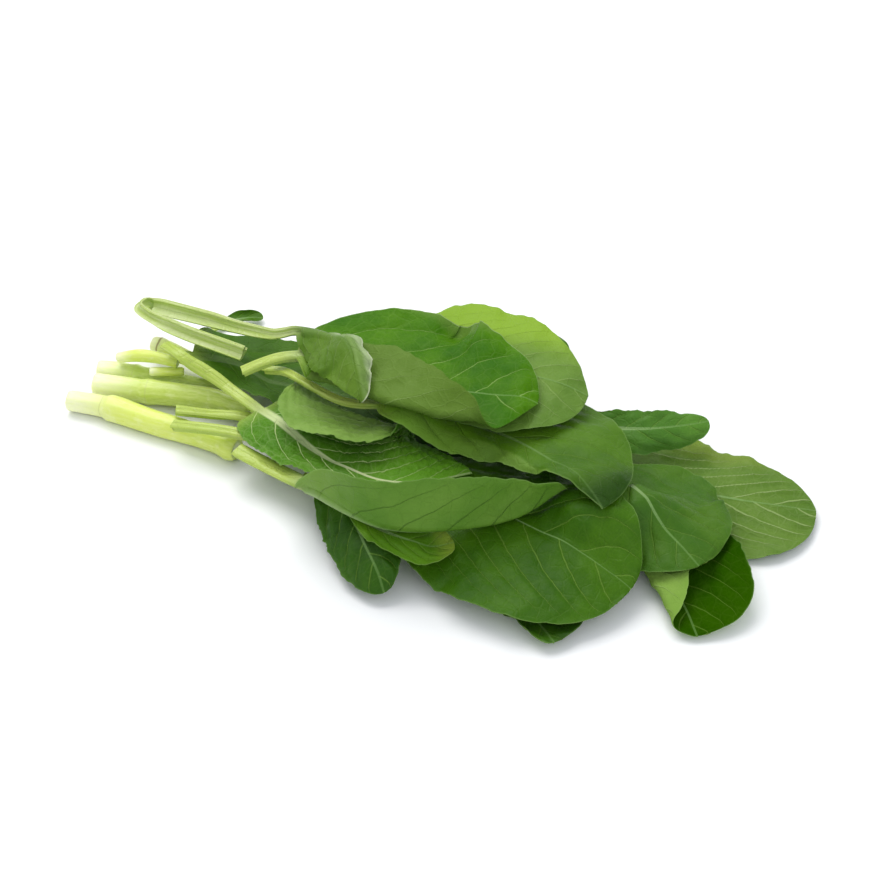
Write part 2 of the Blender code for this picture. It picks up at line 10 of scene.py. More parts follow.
import bpy
import numpy as np
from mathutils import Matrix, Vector


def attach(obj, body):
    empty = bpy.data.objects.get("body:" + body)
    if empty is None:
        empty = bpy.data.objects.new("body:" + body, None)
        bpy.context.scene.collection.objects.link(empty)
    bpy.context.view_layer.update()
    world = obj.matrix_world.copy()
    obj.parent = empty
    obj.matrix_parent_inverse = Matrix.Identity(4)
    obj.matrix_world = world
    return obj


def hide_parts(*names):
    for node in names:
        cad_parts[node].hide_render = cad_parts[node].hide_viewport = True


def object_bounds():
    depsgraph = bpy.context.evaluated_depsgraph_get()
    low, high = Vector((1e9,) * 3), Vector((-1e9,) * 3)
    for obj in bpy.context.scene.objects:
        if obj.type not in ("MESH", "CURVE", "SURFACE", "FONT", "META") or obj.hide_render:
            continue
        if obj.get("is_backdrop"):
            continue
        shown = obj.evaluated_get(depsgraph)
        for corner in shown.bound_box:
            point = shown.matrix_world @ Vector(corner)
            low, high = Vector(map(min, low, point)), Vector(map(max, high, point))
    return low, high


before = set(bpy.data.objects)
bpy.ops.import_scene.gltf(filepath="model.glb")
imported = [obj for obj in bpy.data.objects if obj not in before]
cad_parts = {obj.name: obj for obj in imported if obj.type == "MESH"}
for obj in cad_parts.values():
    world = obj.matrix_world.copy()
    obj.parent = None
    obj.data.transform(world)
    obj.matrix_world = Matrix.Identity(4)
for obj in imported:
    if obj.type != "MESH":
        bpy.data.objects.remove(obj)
cad_low, cad_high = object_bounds()

MM = 0.001

# Sizes shared with the solids
CENTRE = (-5.4, -19.4)    # middle of the bunch on the table, moved onto the origin
CAD_BLADE = 0.9           # blade thickness of the solids, used while the leaves settle
SHOULDER = 0.3            # how far a bare stalk's edges round off, as a share of its thickness
RIB_TIP = 0.55            # half width of the midrib where it runs out
RIB_COLUMN = 0.25         # columns of a sheet follow the midrib up to here, past it the blade
RIB_CORE = 0.8            # share of the midrib's half width that those columns cover
PATH_SAMPLES = 400        # points along a smooth path
SECTION_STEPS = 60        # steps across half a leaf, while its bend is worked out

# Settling, as in the solids
LEAF_GAP = 1.0            # air left between a leaf and what it lies on
CELL = 1.25               # spacing of the height map that leaves settle on
MAP_LOW, MAP_HIGH = (-215.0, -165.0), (215.0, 125.0)      # corners of that map
DRAPE_STEPS = 40          # how softly a leaf comes down again beside what holds it up
LAST_STEPS = 3            # and how often its whole rise is smoothed at the end
WIDE_CROWDING = 1.7       # how the few rows crowd towards a leaf's tip
PLAIN_COLUMNS = (0.0, 0.13, 0.25, 0.5, 0.75, 1.0)
FOLDED_COLUMNS = (0.0, 0.13, 0.25, 0.42, 0.55, 0.68, 0.82, 1.0)

# The finished leaves
BLADE = 0.45              # blade thickness
MARGIN = 0.25             # thickness at the very edge
MARGIN_WIDTH = 2          # how far from the edge the blade starts to thin
GRID = 1.1                # spacing of the blade's points
STALK_GRID = 2            # spacing of the rows along a bare stalk
FINE_CROWDING = 1.25      # how the fine rows crowd towards a leaf's tip
RIB_POINTS = 8            # points across half of the midrib
WIDEST_GAP = 60           # between side veins, where they run out
TABLE_GAP = 0.05          # no leaf comes lower than this
LEAF_CREASE = 55          # degrees from which an edge looks sharp
STALK_ROUGH, STALK_GLOSS = 0.3, 0.55      # roughness and shine of a bare stalk

# The finished stems
STEM_ROW = 0.9            # spacing of the rings along a stem
STEM_TURN = np.linspace(0, 2 * math.pi, 56, endpoint=False)    # angles of the points on a ring
STEM_LOW = 0.02           # no stem comes lower than this
STEM_CREASE = 50          # as LEAF_CREASE
CUT_EDGE = 0.6            # how far from a cut end its edge starts to round off
CUT_ROUNDING = 0.5        # and by how much
CUT_RINGS = ((0.86, 0.0), (0.6, 0.15), (0.35, 0.5), (0.12, 0.8))    # (share of the radius, how deep)

# The photo's camera
CAMERA_AWAY = 1100        # from the middle of the bunch
CAMERA_RISE = 40          # degrees above the table
FOCAL_PIXELS, PHOTO_PIXELS = 2340, 886
SENSOR = 36.0             # width in mm, as Blender counts focal lengths


# Smooth curves

def smoothstep(x):
    """Goes from 0 to 1 as x does, level at both ends."""
    x = np.clip(x, 0.0, 1.0)
    return x * x * (3 - 2 * x)


def ease(keys, at):
    """Values between (position, value, ...) keys, levelling out at each key."""
    keys = np.array(keys, float)
    at = np.clip(np.asarray(at, float), keys[0, 0], keys[-1, 0])
    after = np.clip(np.searchsorted(keys[:, 0], at, side="right"), 1, len(keys) - 1)
    start, end = keys[after - 1], keys[after]
    part = smoothstep((at - start[..., 0]) / np.maximum(end[..., 0] - start[..., 0], 1e-9))
    return start[..., 1:] + (end - start)[..., 1:] * part[..., None]


def hermite(knots, values, slopes, at):
    """Cubic curves that pass the values at the knots with these slopes, read at the distances at."""
    after = np.clip(np.searchsorted(knots, at, side="right"), 1, len(knots) - 1)
    step = (knots[after] - knots[after - 1])[:, None]
    x = (at - knots[after - 1])[:, None] / step
    return ((2 * x**3 - 3 * x**2 + 1) * values[after - 1] + (x**3 - 2 * x**2 + x) * step * slopes[after - 1]
            + (3 * x**2 - 2 * x**3) * values[after] + (x**3 - x**2) * step * slopes[after])


def smooth_path(points):
    """The points joined by a smooth curve, sampled densely, and the distance along it."""
    points = np.array(points, float)
    knots = np.append(0, np.cumsum(np.linalg.norm(np.diff(points, axis=0), axis=1) ** 0.5))
    slopes = np.gradient(points, knots, axis=0)
    line = hermite(knots, points, slopes, np.linspace(0, knots[-1], PATH_SAMPLES))
    along = np.append(0, np.cumsum(np.linalg.norm(np.diff(line, axis=0), axis=1)))
    return line, along


def path_length(path):
    """Length of the smooth curve through the points."""
    return smooth_path(path)[1][-1]


def unit(vectors):
    """The vectors at length 1."""
    return vectors / np.maximum(np.linalg.norm(vectors, axis=-1, keepdims=True), 1e-12)


def lie_of(path, at):
    """The places at these distances along a path, and which way is ahead, up and sideways there."""
    line, along = smooth_path(path)
    centre = np.stack([np.interp(at, along, line[:, k]) for k in range(3)], axis=1)
    ahead = unit(np.stack([np.interp(at, along, g) for g in np.gradient(line, along, axis=0).T], axis=1))
    up = unit(np.array([0, 0, 1.0]) - ahead * ahead[:, 2:])
    return centre, ahead, up, np.cross(ahead, up)


# Leaves

def leaf(path, blade, half, ends=((0.7, 0.45), (0.7, 0.45)), roll=((0, 0),), right=((0, 0, 0),),
         left=((0, 0, 0),), bend=((10, 32), (10, 32)), swing=0, stalk=(3, 4), channel=0.6, taper=((0, 1),),
         ripple=(1.5, 2.0, 0.0), rows=(2, 12), columns=PLAIN_COLUMNS, reach=4):
    """One leaf, seen from its upper face, stalk first.

    path: line of the stalk and midrib.  blade: length of the blade, measured back from the tip.
    half: widest half widths (right, left).  ends: how pointed each half is (base, tip).
    roll: (share of the path, degrees towards the right side).
    right, left: (share of the blade, lift, fold): the half leaves the midrib at `lift` degrees and
    folds up by a further `fold` degrees between the distances from the midrib given in bend.
    swing: how much further out that fold lies at the tip than at the base.
    stalk: (half width, thickness), scaled along the path by taper: (share of the path, scale).
    channel: depth of the groove along the stalk's upper face, negative where the face is domed.
    ripple: (height, waves, phase) of the margin.
    rows (stalk, blade) and columns: where its rise over the leaves below is worked out.
    reach: cells over which the leaf spreads its rise where it lies on others.
    """
    return SimpleNamespace(**locals())


def rows_along(spec, rows, crowding):
    """Distances of a sheet's rows along the path, and their shares of the blade.

    rows: how many (along the stalk, along the blade).  A crowding above 1 brings the blade's rows
    closer together towards its tip.
    """
    length = path_length(spec.path)
    start = max(length - spec.blade, 0.0)
    share = np.linspace(0, 1, rows[1])
    blade = start + (length - start) * (1 - (1 - share) ** crowding)
    stalk = np.linspace(0, start, rows[0] + 1)[:-1] if start > 1 else []
    at = np.concatenate([stalk, blade])
    return at, (at - start) / (length - start)


def wide_grid(spec):
    """The few rows and columns at which the leaf's rise is worked out, as fine_grid gives them."""
    return *rows_along(spec, spec.rows, WIDE_CROWDING), np.array(spec.columns)


def fine_grid(spec):
    """Distances of the sheet's rows along the path, their shares of the blade, and its columns."""
    length = path_length(spec.path)
    start = max(length - spec.blade, 0.0)
    rows = int(start / STALK_GRID) + 1, int((length - start) / GRID) + 2
    over_rib = np.linspace(0, RIB_COLUMN, RIB_POINTS + 1)[:-1]
    over_blade = np.linspace(RIB_COLUMN, 1, int(max(spec.half) / GRID) + 2)
    return *rows_along(spec, rows, FINE_CROWDING), np.concatenate([over_rib, over_blade])


def half_widths(spec, share, path_share):
    """Half width of the midrib and of each half of the leaf at these shares of the blade."""
    inside = np.clip(share, 1e-4, 1 - 1e-4)
    widest_rib = spec.stalk[0] * ease(spec.taper, path_share)[:, 0]
    rib = RIB_TIP + (widest_rib - RIB_TIP) * (1 - smoothstep(share * 1.1 + 0.02)) ** 1.6
    rib = np.where(share <= 0, widest_rib, np.minimum(rib, widest_rib))
    halves = []
    for half, (base, tip) in zip(spec.half, spec.ends):
        widest = base / (base + tip)
        outline = (inside / widest) ** base * ((1 - inside) / (1 - widest)) ** tip
        halves.append(np.maximum(rib * 1.02, np.where(share <= 0, 0, outline) * half))
    return rib, halves


def summed(values, step):
    """Running sum of the values along each row, taken at this distance from one another."""
    middle = (values[:, 1:] + values[:, :-1]) / 2 * step
    return np.concatenate([np.zeros((len(values), 1)), np.cumsum(middle, axis=1)], axis=1)


def half_section(spec, side, share, rib, half, fractions):
    """Distances out from the midrib and up, and the lie of the surface, across one half."""
    lift, fold = np.radians(ease(getattr(spec, side), share)).T
    first, last = (edge + spec.swing * share[:, None] for edge in spec.bend[side == "left"])
    fine = np.linspace(0, 1, SECTION_STEPS + 1)
    free = smoothstep((half - rib) / 8)[:, None]
    out = fine * half[:, None]
    angle = free * (lift[:, None] * smoothstep(out / (rib[:, None] + 3)) +
                    fold[:, None] * smoothstep((out - first) / (last - first)))
    step = half[:, None] / SECTION_STEPS
    across, upward = summed(np.cos(angle), step), summed(np.sin(angle), step)
    core = RIB_CORE * rib[:, None]
    distance = np.where(fractions <= RIB_COLUMN, fractions / RIB_COLUMN * core,
                        core + (fractions - RIB_COLUMN) / (1 - RIB_COLUMN) * (half[:, None] - core))
    rank = distance / half[:, None]
    pick = lambda table: np.stack([np.interp(r, fine, row) for r, row in zip(rank, table)])
    return pick(across), pick(upward), pick(angle), distance, rank


def half_sheet(spec, name, share, rib, half, fractions, lie):
    """One half of a leaf, from its midrib outwards, with what is known at each of its points."""
    centre, up, side = lie
    way = 1 if name == "right" else -1
    x, y, angle, distance, rank = half_section(spec, name, share, rib, half, fractions)
    normal = -way * np.sin(angle)[..., None] * side[:, None] + np.cos(angle)[..., None] * up[:, None]
    points = centre[:, None] + way * x[..., None] * side[:, None] + y[..., None] * up[:, None]
    height, waves, phase = spec.ripple
    free = smoothstep((half - rib) / 10)[:, None] * np.sin(np.pi * np.clip(share, 0, 1))[:, None] ** 0.5
    wave = height * free * rank ** 2.5 * np.sin(2 * np.pi * waves * share[:, None] + phase + way)
    inside = np.clip(distance / rib[:, None], 0, 1)
    groove = -spec.channel * (1 - inside**2) * smoothstep(rib / 3)[:, None]
    tall = (spec.stalk[1] / spec.stalk[0] * rib)[:, None]
    round_off = SHOULDER * tall * (1 - smoothstep((half - rib) / 4))[:, None] * inside**4
    thickness = lambda plain: plain + np.maximum((tall - plain) * np.sqrt(1 - inside**2) - round_off, 0)
    grid = np.ones_like(rank)
    return dict(points=points + (wave + groove - round_off)[..., None] * normal, rank=rank,
                thick=thickness(CAD_BLADE), slim=thickness(BLADE), across=way * distance,
                half=half[:, None] * grid, rib=rib[:, None] * grid, share=share[:, None] * grid,
                free=free * grid)


def leaf_sheet(spec, layout=fine_grid):
    """The upper surface as a grid, left margin to right, and what is known at each of its points.

    points, thick (of the solid), slim (of the finished leaf), across (mm from the midrib, negative
    on the left), rank (share of the half width), half (the half width), rib (half width of the
    midrib), share (of the blade), free (1 where the margin may wave, 0 on the stalk), at (distance
    along the path).
    """
    at, share, fractions = layout(spec)
    centre, _, up, side = lie_of(spec.path, at)
    path_share = at / path_length(spec.path)
    roll = np.radians(ease(spec.roll, path_share))
    up, side = up * np.cos(roll) + side * np.sin(roll), side * np.cos(roll) - up * np.sin(roll)
    rib, halves = half_widths(spec, share, path_share)
    right, left = (half_sheet(spec, name, share, rib, half, fractions, (centre, up, side))
                   for name, half in zip(("right", "left"), halves))
    grids = {key: np.concatenate([left[key][:, :0:-1], right[key]], axis=1) for key in right}
    return SimpleNamespace(**grids, at=at[:, None] * np.ones_like(grids["rank"]))


def underside(points, thickness):
    """The lower surface of a sheet."""
    normal = np.cross(np.gradient(points, axis=1), np.gradient(points, axis=0))
    return points - unit(normal) * thickness[..., None]


# Settling on the pile

def spread(field, steps, mix):
    """The 3 x 3 maximum, minimum or average of a map, taken again and again."""
    for _ in range(steps):
        edge = np.pad(field, 1, mode="edge")
        shifted = [edge[i:i + field.shape[0], j:j + field.shape[1]] for i in range(3) for j in range(3)]
        field = mix(shifted, axis=0)
    return field


class Pile:
    """Heights of everything laid so far, on a square map of the table."""

    def __init__(self):
        size = [int((high - low) / CELL) + 1 for low, high in zip(MAP_LOW, MAP_HIGH)]
        self.top = np.zeros(size)

    def cells(self, points):
        """The cell that each point lies over."""
        return tuple(np.clip(((points[:, k] - MAP_LOW[k]) / CELL).round().astype(int), 0, size - 1)
                     for k, size in enumerate(self.top.shape))

    def settle(self, samples, reach):
        """How far the piece must rise over each cell so that it clears the pile."""
        low = np.full(self.top.shape, np.inf)
        np.minimum.at(low, self.cells(samples), samples[:, 2])
        under = spread(self.top, 1, np.max)
        need = np.where(np.isfinite(low), under + np.where(under > 0.01, LEAF_GAP, 0) - low, 0)
        need = spread(np.maximum(need, 0), reach, np.max)
        rise = need
        for _ in range(DRAPE_STEPS):
            rise = np.maximum(need, spread(rise, 1, np.mean))
        return spread(rise, LAST_STEPS, np.mean)

    def rise_at(self, rise, points):
        """The rise at any points, evened out between the cells around them."""
        spot = [(points[..., k] - MAP_LOW[k]) / CELL for k in range(2)]
        low = [np.clip(s.astype(int), 0, n - 2) for s, n in zip(spot, rise.shape)]
        x, y = (s - l for s, l in zip(spot, low))
        return sum(rise[low[0] + i, low[1] + j] * (x if i else 1 - x) * (y if j else 1 - y)
                   for i in range(2) for j in range(2))

    def add(self, samples):
        """Puts a laid piece on the map."""
        np.maximum.at(self.top, self.cells(samples), samples[:, 2])


def filled_in(table, knots, at):
    """Rows between the rows of a table, joined by smooth curves that never swing past them."""
    steep = np.diff(table, axis=0) / np.diff(knots)[:, None]
    before, later = steep[:-1], steep[1:]
    same_way = before * later > 1e-12
    inner = np.where(same_way, 2 * before * later / np.where(same_way, before + later, 1.0), 0)
    return hermite(knots, table, np.concatenate([steep[:1], inner, steep[-1:]]), at)


def lay(spec, sheet, pile):
    """Lifts the sheet onto the pile, following the rise at a few rows and columns, and adds it."""
    wide = leaf_sheet(spec, wide_grid)
    rise = pile.settle(both_faces(sheet.points, sheet.thick), spec.reach)
    table = pile.rise_at(rise, wide.points)
    columns = np.array(spec.columns)
    fine_at, _, fine_columns = fine_grid(spec)
    table = filled_in(table, wide_grid(spec)[0], fine_at)
    both = lambda c: np.concatenate([-c[:0:-1], c])
    table = filled_in(table.T, both(columns), both(fine_columns)).T
    sheet.points[..., 2] += np.maximum(table, 0)
    pile.add(both_faces(sheet.points, sheet.thick))


def both_faces(points, thickness):
    """Points on both faces of a sheet, as closely spaced as the map's cells."""
    between = (points[:-1] + points[1:]) / 2
    middle = (thickness[:-1] + thickness[1:]) / 2
    return np.concatenate([grid.reshape(-1, 3) for grid in (
        points, between, underside(points, thickness), underside(between, middle))])


# Detail of a leaf's surface

def vein_phase(sheet, look):
    """A number that is whole along each side vein, and the distance from one vein to the next."""
    share, rank = np.clip(sheet.share, 0, 1), sheet.rank
    # The veins run further ahead on the outer blade than at its base
    lean, curl = look.sweep
    ahead = np.abs(sheet.across) * (lean + curl * rank) * (0.35 + 0.65 * smoothstep(share / 0.45))
    # The left half's veins leave the midrib about midway between those of the right half
    phase = look.veins * (share - ahead / look.length) + np.where(sheet.across < 0, 0.45, 0)
    along, across = np.gradient(sheet.points, axis=0), np.gradient(sheet.points, axis=1)
    d_along, d_across = np.gradient(phase, axis=0), np.gradient(phase, axis=1)
    aa, bb, ab = (along**2).sum(-1), (across**2).sum(-1), (along * across).sum(-1)
    steep = d_along**2 * bb - 2 * d_along * d_across * ab + d_across**2 * aa
    slope = steep / np.maximum(aa * bb - ab**2, 1e-6)
    return phase, np.clip(1 / np.sqrt(np.maximum(slope, 1e-6)), 0, WIDEST_GAP)


def puckers(sheet, look):
    """Small uneven swellings, about as wide as the net of cross veins, between -1 and 1."""
    total = 0
    for number in range(8):
        turn = 2.4 * number + look.seed
        length = look.pucker_size * (0.6 + 0.13 * number)
        run = sheet.at * math.cos(turn) + sheet.across * math.sin(turn)
        drift = 1.6 * np.sin(sheet.at * 0.11 + number) + 1.3 * np.sin(sheet.across * 0.13 + 2 * number)
        total = total + np.sin(2 * math.pi * run / length + drift)
    return total / 4


def frayed(sheet, look):
    """Shift of the points away from the midrib, so that the margin is gently uneven, in mm."""
    coarse, waves, fine, teeth = look.fray
    left = sheet.across < 0
    run = 2 * math.pi * waves * sheet.share + look.seed + np.where(left, 1.7, 0)
    uneven = coarse * (np.sin(run + 1.1 * np.sin(0.43 * run)) + 0.5 * np.sin(2.7 * run + 2.0))
    toothed = fine * np.sin(2 * math.pi * teeth * sheet.share + 2.0 * np.sin(run))
    return (uneven * smoothstep((sheet.rank - 0.55) / 0.45)
            + toothed * smoothstep((sheet.rank - 0.86) / 0.14)) * sheet.free


def relief(sheet, look, phase, gap):
    """Height of the finished surface above the plain sheet, in mm."""
    rank, share, free = sheet.rank, sheet.share, sheet.free
    off_rib = smoothstep((np.abs(sheet.across) - sheet.rib) / 5) * smoothstep(share / 0.06)
    # 0 on a side vein, 0.5 midway to the next
    towards = np.abs((phase + 0.5) % 1 - 0.5)
    vein = np.exp(-(towards * gap / 1.3) ** 2) * (1 - smoothstep((rank - 0.55) / 0.45))
    puffed = np.sin(np.pi * np.clip(towards, 0, 0.5)) ** 0.8 * (1 - smoothstep((rank - 0.6) / 0.4))
    height = off_rib * (look.puff * puffed - look.sunk * vein + look.pucker * puckers(sheet, look))
    size, waves, turn = look.ruffle
    run = waves * 2 * math.pi * share + turn + np.where(sheet.across < 0, 2.1, 0)
    frill = np.sin(run + 0.8 * np.sin(run * 0.37)) + 0.35 * np.sin(2.3 * run + 1.0)
    height = height + size * free * smoothstep((rank - 0.45) / 0.55) * frill
    for at_share, across, long, wide, lift in look.dents:
        blob = np.exp(-((sheet.at - sheet.at.max() + (1 - at_share) * look.length) / long) ** 2
                      - ((sheet.across - across) / wide) ** 2)
        height = height + lift * blob
    return height


# Meshes

def placed(points):
    """Millimetres of the laid bunch as metres of the scene."""
    return (points - np.array([*CENTRE, 0])) * MM


def mesh_object(name, points, quads, material, fields, sharp_at):
    """A smooth-shaded object of four-sided faces, with a named value of each field at every point."""
    mesh = bpy.data.meshes.new(name)
    mesh.from_pydata(placed(points), [], quads)
    mesh.validate()
    for key, values in fields.items():
        attribute = mesh.attributes.new(key, "FLOAT", "POINT")
        attribute.data.foreach_set("value", values.astype(np.float32).ravel())
    mesh.materials.append(material)
    mesh.shade_smooth()
    mesh.set_sharp_from_angle(angle=math.radians(sharp_at))
    obj = bpy.data.objects.new(name, mesh)
    bpy.context.scene.collection.objects.link(obj)
    return obj


def closed_sheet(name, top, bottom, material, fields):
    """Both faces of a leaf and the rim between them."""
    rows, columns = top.shape[:2]
    number = np.arange(rows * columns).reshape(rows, columns)
    corners = [number[:-1, :-1], number[:-1, 1:], number[1:, 1:], number[1:, :-1]]
    upper = np.stack([c.ravel() for c in corners], axis=1)
    lower = upper[:, ::-1] + rows * columns
    edge = np.concatenate([number[:, 0], number[-1, 1:], number[-2::-1, -1], number[0, -2:0:-1]])
    after = np.roll(edge, -1)
    rim = np.stack([edge, after, after + rows * columns, edge + rows * columns], axis=1)
    points = np.concatenate([top.reshape(-1, 3), bottom.reshape(-1, 3)])
    doubled = {key: np.concatenate([values.ravel()] * 2) for key, values in fields.items()}
    doubled["under"] = np.repeat([0.0, 1.0], rows * columns)
    return mesh_object(name, points, np.concatenate([upper, lower, rim]), material, doubled, LEAF_CREASE)


def stand_for(piece, node, slot):
    """Hangs the piece under the root and hides the solid that it shows. The slot is not used."""
    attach(piece, "root")
    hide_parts(node)


def thinned(sheet):
    """Thickness of the finished leaf, which runs out thin at its margin, and the distance to it."""
    to_edge = (1 - sheet.rank) * sheet.half
    near_edge = (1 - smoothstep(to_edge / MARGIN_WIDTH)) * (np.abs(sheet.across) > sheet.rib)
    return sheet.slim - (BLADE - MARGIN) * near_edge, to_edge


def make_leaf(name, spec, look, pile):
    """Lays one leaf on the pile and gives it its relief, its uneven margin and its other face."""
    sheet = leaf_sheet(spec)
    lay(spec, sheet, pile)
    phase, gap = vein_phase(sheet, look)
    along, across = np.gradient(sheet.points, axis=0), np.gradient(sheet.points, axis=1)
    outward = unit(across) * np.sign(sheet.across)[..., None]
    height, shift = relief(sheet, look, phase, gap), frayed(sheet, look)
    top = sheet.points + height[..., None] * unit(np.cross(across, along)) + shift[..., None] * outward
    thickness, to_edge = thinned(sheet)
    bottom = underside(top, thickness)
    push = np.maximum(TABLE_GAP - np.minimum(bottom[..., 2], top[..., 2]), 0)
    top[..., 2] += push
    bottom[..., 2] += push
    fields = dict(vein=phase, gap=gap, across=sheet.across, along=sheet.at, rank=sheet.rank,
                  rib=np.abs(sheet.across) / sheet.rib, edge=to_edge, share=sheet.share)
    obj = closed_sheet("fine_" + name, top, bottom, leaf_material(name + "_surface", look), fields)
    stand_for(obj, name, look.slot)


def cut_end(ring, middle, outward):
    """Rings that close a cut end, from its rim inwards, hollowed towards the middle."""
    return [middle + share * (ring - middle) - depth * outward for share, depth in CUT_RINGS]


def stem_rings(path, radii, at):
    """Rings of points around a stem at these distances along it, with those of both cut ends."""
    centre, ahead, up, side = lie_of(path, at)
    radius = ease(radii, at / at[-1])[:, :1]
    ribs = 1 + 0.025 * np.cos(5 * STEM_TURN + 0.6) + 0.012 * np.cos(9 * STEM_TURN + at[:, None] * 0.03)
    to_end = np.minimum(at, at[-1] - at)[:, None]
    full = radius * ribs - CUT_ROUNDING * np.clip(1 - to_end / CUT_EDGE, 0, 1) ** 2
    spokes = np.cos(STEM_TURN)[:, None] * up[:, None] + np.sin(STEM_TURN)[:, None] * side[:, None]
    skin = centre[:, None] + full[..., None] * spokes
    first, last = cut_end(skin[0], centre[0], -ahead[0]), cut_end(skin[-1], centre[-1], ahead[-1])
    rings = np.array(first[::-1] + list(skin) + last)
    rings[..., 2] = np.maximum(rings[..., 2], STEM_LOW)
    return rings


def tube_faces(rings, around):
    """Faces between neighbouring rings, and across the first and the last ring."""
    number = np.arange(rings * around).reshape(rings, around)
    after = np.roll(number, -1, axis=1)
    wall = np.stack([number[:-1], after[:-1], after[1:], number[1:]], axis=-1).reshape(-1, 4)
    near = np.arange(around // 2 - 1)
    across = np.stack([near, near + 1, around - 2 - near, around - 1 - near], axis=1)
    return np.concatenate([wall, number[0][across][:, ::-1], number[-1][across]])


def make_stem(name, path, radii, pile, look):
    """A round stem with faint ribs along it, swollen at its joints, cut square at both ends."""
    length = path_length(path)
    at = np.linspace(0, length, int(length / STEM_ROW) + 2)
    rings = stem_rings(path, radii, at)
    pile.add(rings.reshape(-1, 3))
    shares = [share for share, _ in CUT_RINGS]
    cut = np.array(shares[::-1] + [1.0] * len(at) + shares)[:, None]
    at = np.concatenate([[0] * len(shares), at, [length] * len(shares)])[:, None]
    grid = np.ones(rings.shape[:2])
    fields = dict(along=at * grid, share=at / length * grid, around=grid * STEM_TURN, cut=cut * grid)
    obj = mesh_object("fine_" + name, rings.reshape(-1, 3), tube_faces(*rings.shape[:2]),
                      stem_material(name + "_surface", look), fields, STEM_CREASE)
    stand_for(obj, name, "stem_pale_green")


# Materials

class Surface:
    """Short ways to make and join the nodes of one material."""

    def __init__(self, name):
        self.material = bpy.data.materials.new(name)
        self.material.use_nodes = True
        self.nodes, self.links = self.material.node_tree.nodes, self.material.node_tree.links
        self.nodes.clear()
        self.fields = {}

    def make(self, kind, values=(), out=0, **settings):
        """Adds a node with these inputs and settings, and gives back one of its outputs."""
        node = self.nodes.new("ShaderNode" + kind)
        for key, value in settings.items():
            setattr(node, key, value)
        for key, value in (values.items() if isinstance(values, dict) else enumerate(values)):
            if isinstance(value, bpy.types.NodeSocket):
                self.links.new(value, node.inputs[key])
            elif value is not None:
                node.inputs[key].default_value = value
        return node.outputs[out]

    def math(self, operation, *values):
        return self.make("Math", values, operation=operation)

    def plus(self, first, second):
        return self.math("ADD", first, second)

    def minus(self, first, second):
        return self.math("SUBTRACT", first, second)

    def times(self, first, second):
        return self.math("MULTIPLY", first, second)

    def field(self, name):
        """What the mesh holds at each point under this name."""
        if name not in self.fields:
            self.fields[name] = self.make("Attribute", out=2, attribute_name=name)
        return self.fields[name]

    def fade(self, value, low, high, first=0.0, last=1.0):
        """Goes smoothly from first to last as value goes from low to high."""
        return self.make("MapRange", (value, low, high, first, last), interpolation_type="SMOOTHSTEP")

    def mix(self, factor, first, second):
        first, second = [(*c, 1) if isinstance(c, tuple) and len(c) == 3 else c for c in (first, second)]
        return self.make("Mix", {0: factor, 6: first, 7: second}, out=2, data_type="RGBA")

    def spot(self, x, y, z=0.0):
        return self.make("CombineXYZ", (x, y, z))

    def noise(self, vector, scale, detail=2.0, rough=0.5):
        return self.make("TexNoise", {"Vector": vector, "Scale": scale, "Detail": detail, "Roughness": rough})

    def cells(self, vector, scale):
        """Distance from the nearest edge between the cells of a net."""
        return self.make("TexVoronoi", {"Vector": vector, "Scale": scale}, feature="DISTANCE_TO_EDGE")

    def finish(self, shader):
        output = self.nodes.new("ShaderNodeOutputMaterial")
        self.links.new(shader, output.inputs["Surface"])
        return self.material


def leaf_veins(s, look, flat):
    """Side veins, the cross veins between them and the fine net inside those, each from 0 to 1."""
    wobble = s.times(s.minus(s.noise(flat, 0.12, 2), 0.5), 0.22)
    phase = s.plus(s.plus(s.field("vein"), wobble), 0.5)
    apart = s.math("ABSOLUTE", s.minus(s.math("FRACT", phase), 0.5))
    width = s.fade(s.field("rank"), 0.1, 0.95, look.line, look.line * 0.3)
    veins = s.fade(s.math("DIVIDE", s.times(apart, s.field("gap")), width), 0.35, 1.0, 1.0, 0.0)
    veins = s.times(veins, s.fade(s.field("rank"), 0.7, 0.98, 1.0, 0.15))
    drift = s.make("TexNoise", {"Vector": flat, "Scale": 0.25}, out=1)
    twist = s.make("VectorMath", (flat, drift), operation="ADD")
    cross = s.fade(s.cells(twist, 0.14), 0.0, 0.075, 1.0, 0.0)
    net = s.fade(s.cells(twist, 0.5), 0.0, 0.14, 1.0, 0.0)
    return veins, cross, net


def blade_colour(s, look, flat, mottle, lines):
    """Colour of both faces of the blade with its veins, and the tints that only parts of it have, some of
    them painted light and painted shade.
    """
    patches = s.fade(s.noise(flat, 0.045, 3), 0.3, 0.7)
    upper = s.mix(patches, look.dark, look.light)
    upper = s.mix(s.fade(mottle, 0.35, 0.75, 0.0, 0.35), upper, look.dark)
    upper = s.mix(s.times(lines, look.vein), upper, look.vein_colour)
    lower = s.mix(patches, look.under, look.under_light)
    lower = s.mix(s.fade(mottle, 0.35, 0.75, 0.0, 0.25), lower, look.under)
    lower = s.mix(s.times(lines, look.vein_under), lower, look.vein_under_colour)
    colour = s.mix(s.field("under"), upper, lower)
    for where, low, high, tone, amount in look.tones:
        colour = s.mix(s.fade(s.field(where), low, high, 0.0, amount), colour, tone)
    return colour


def with_midrib(s, look, colour, streak):
    """The blade's colour with the pale midrib over it, and the bare stalk's colour before it."""
    share, line, strength = s.field("share"), look.rib_line, look.rib_strength
    in_rib = s.fade(s.field("rib"), line * 0.6, line * 1.1, 1.0, 0.0)
    pale = s.mix(s.fade(share, 0.0, 0.8), look.rib_base, look.rib_tip)
    colour = s.mix(s.times(in_rib, s.fade(share, 0.55, 1.0, strength, strength * 0.4)), colour, pale)
    stalk = s.mix(s.fade(streak, 0.3, 0.75), look.stalk, look.stalk_light)
    return s.mix(s.fade(share, -0.1, 0.1, 1.0, 0.0), colour, stalk)


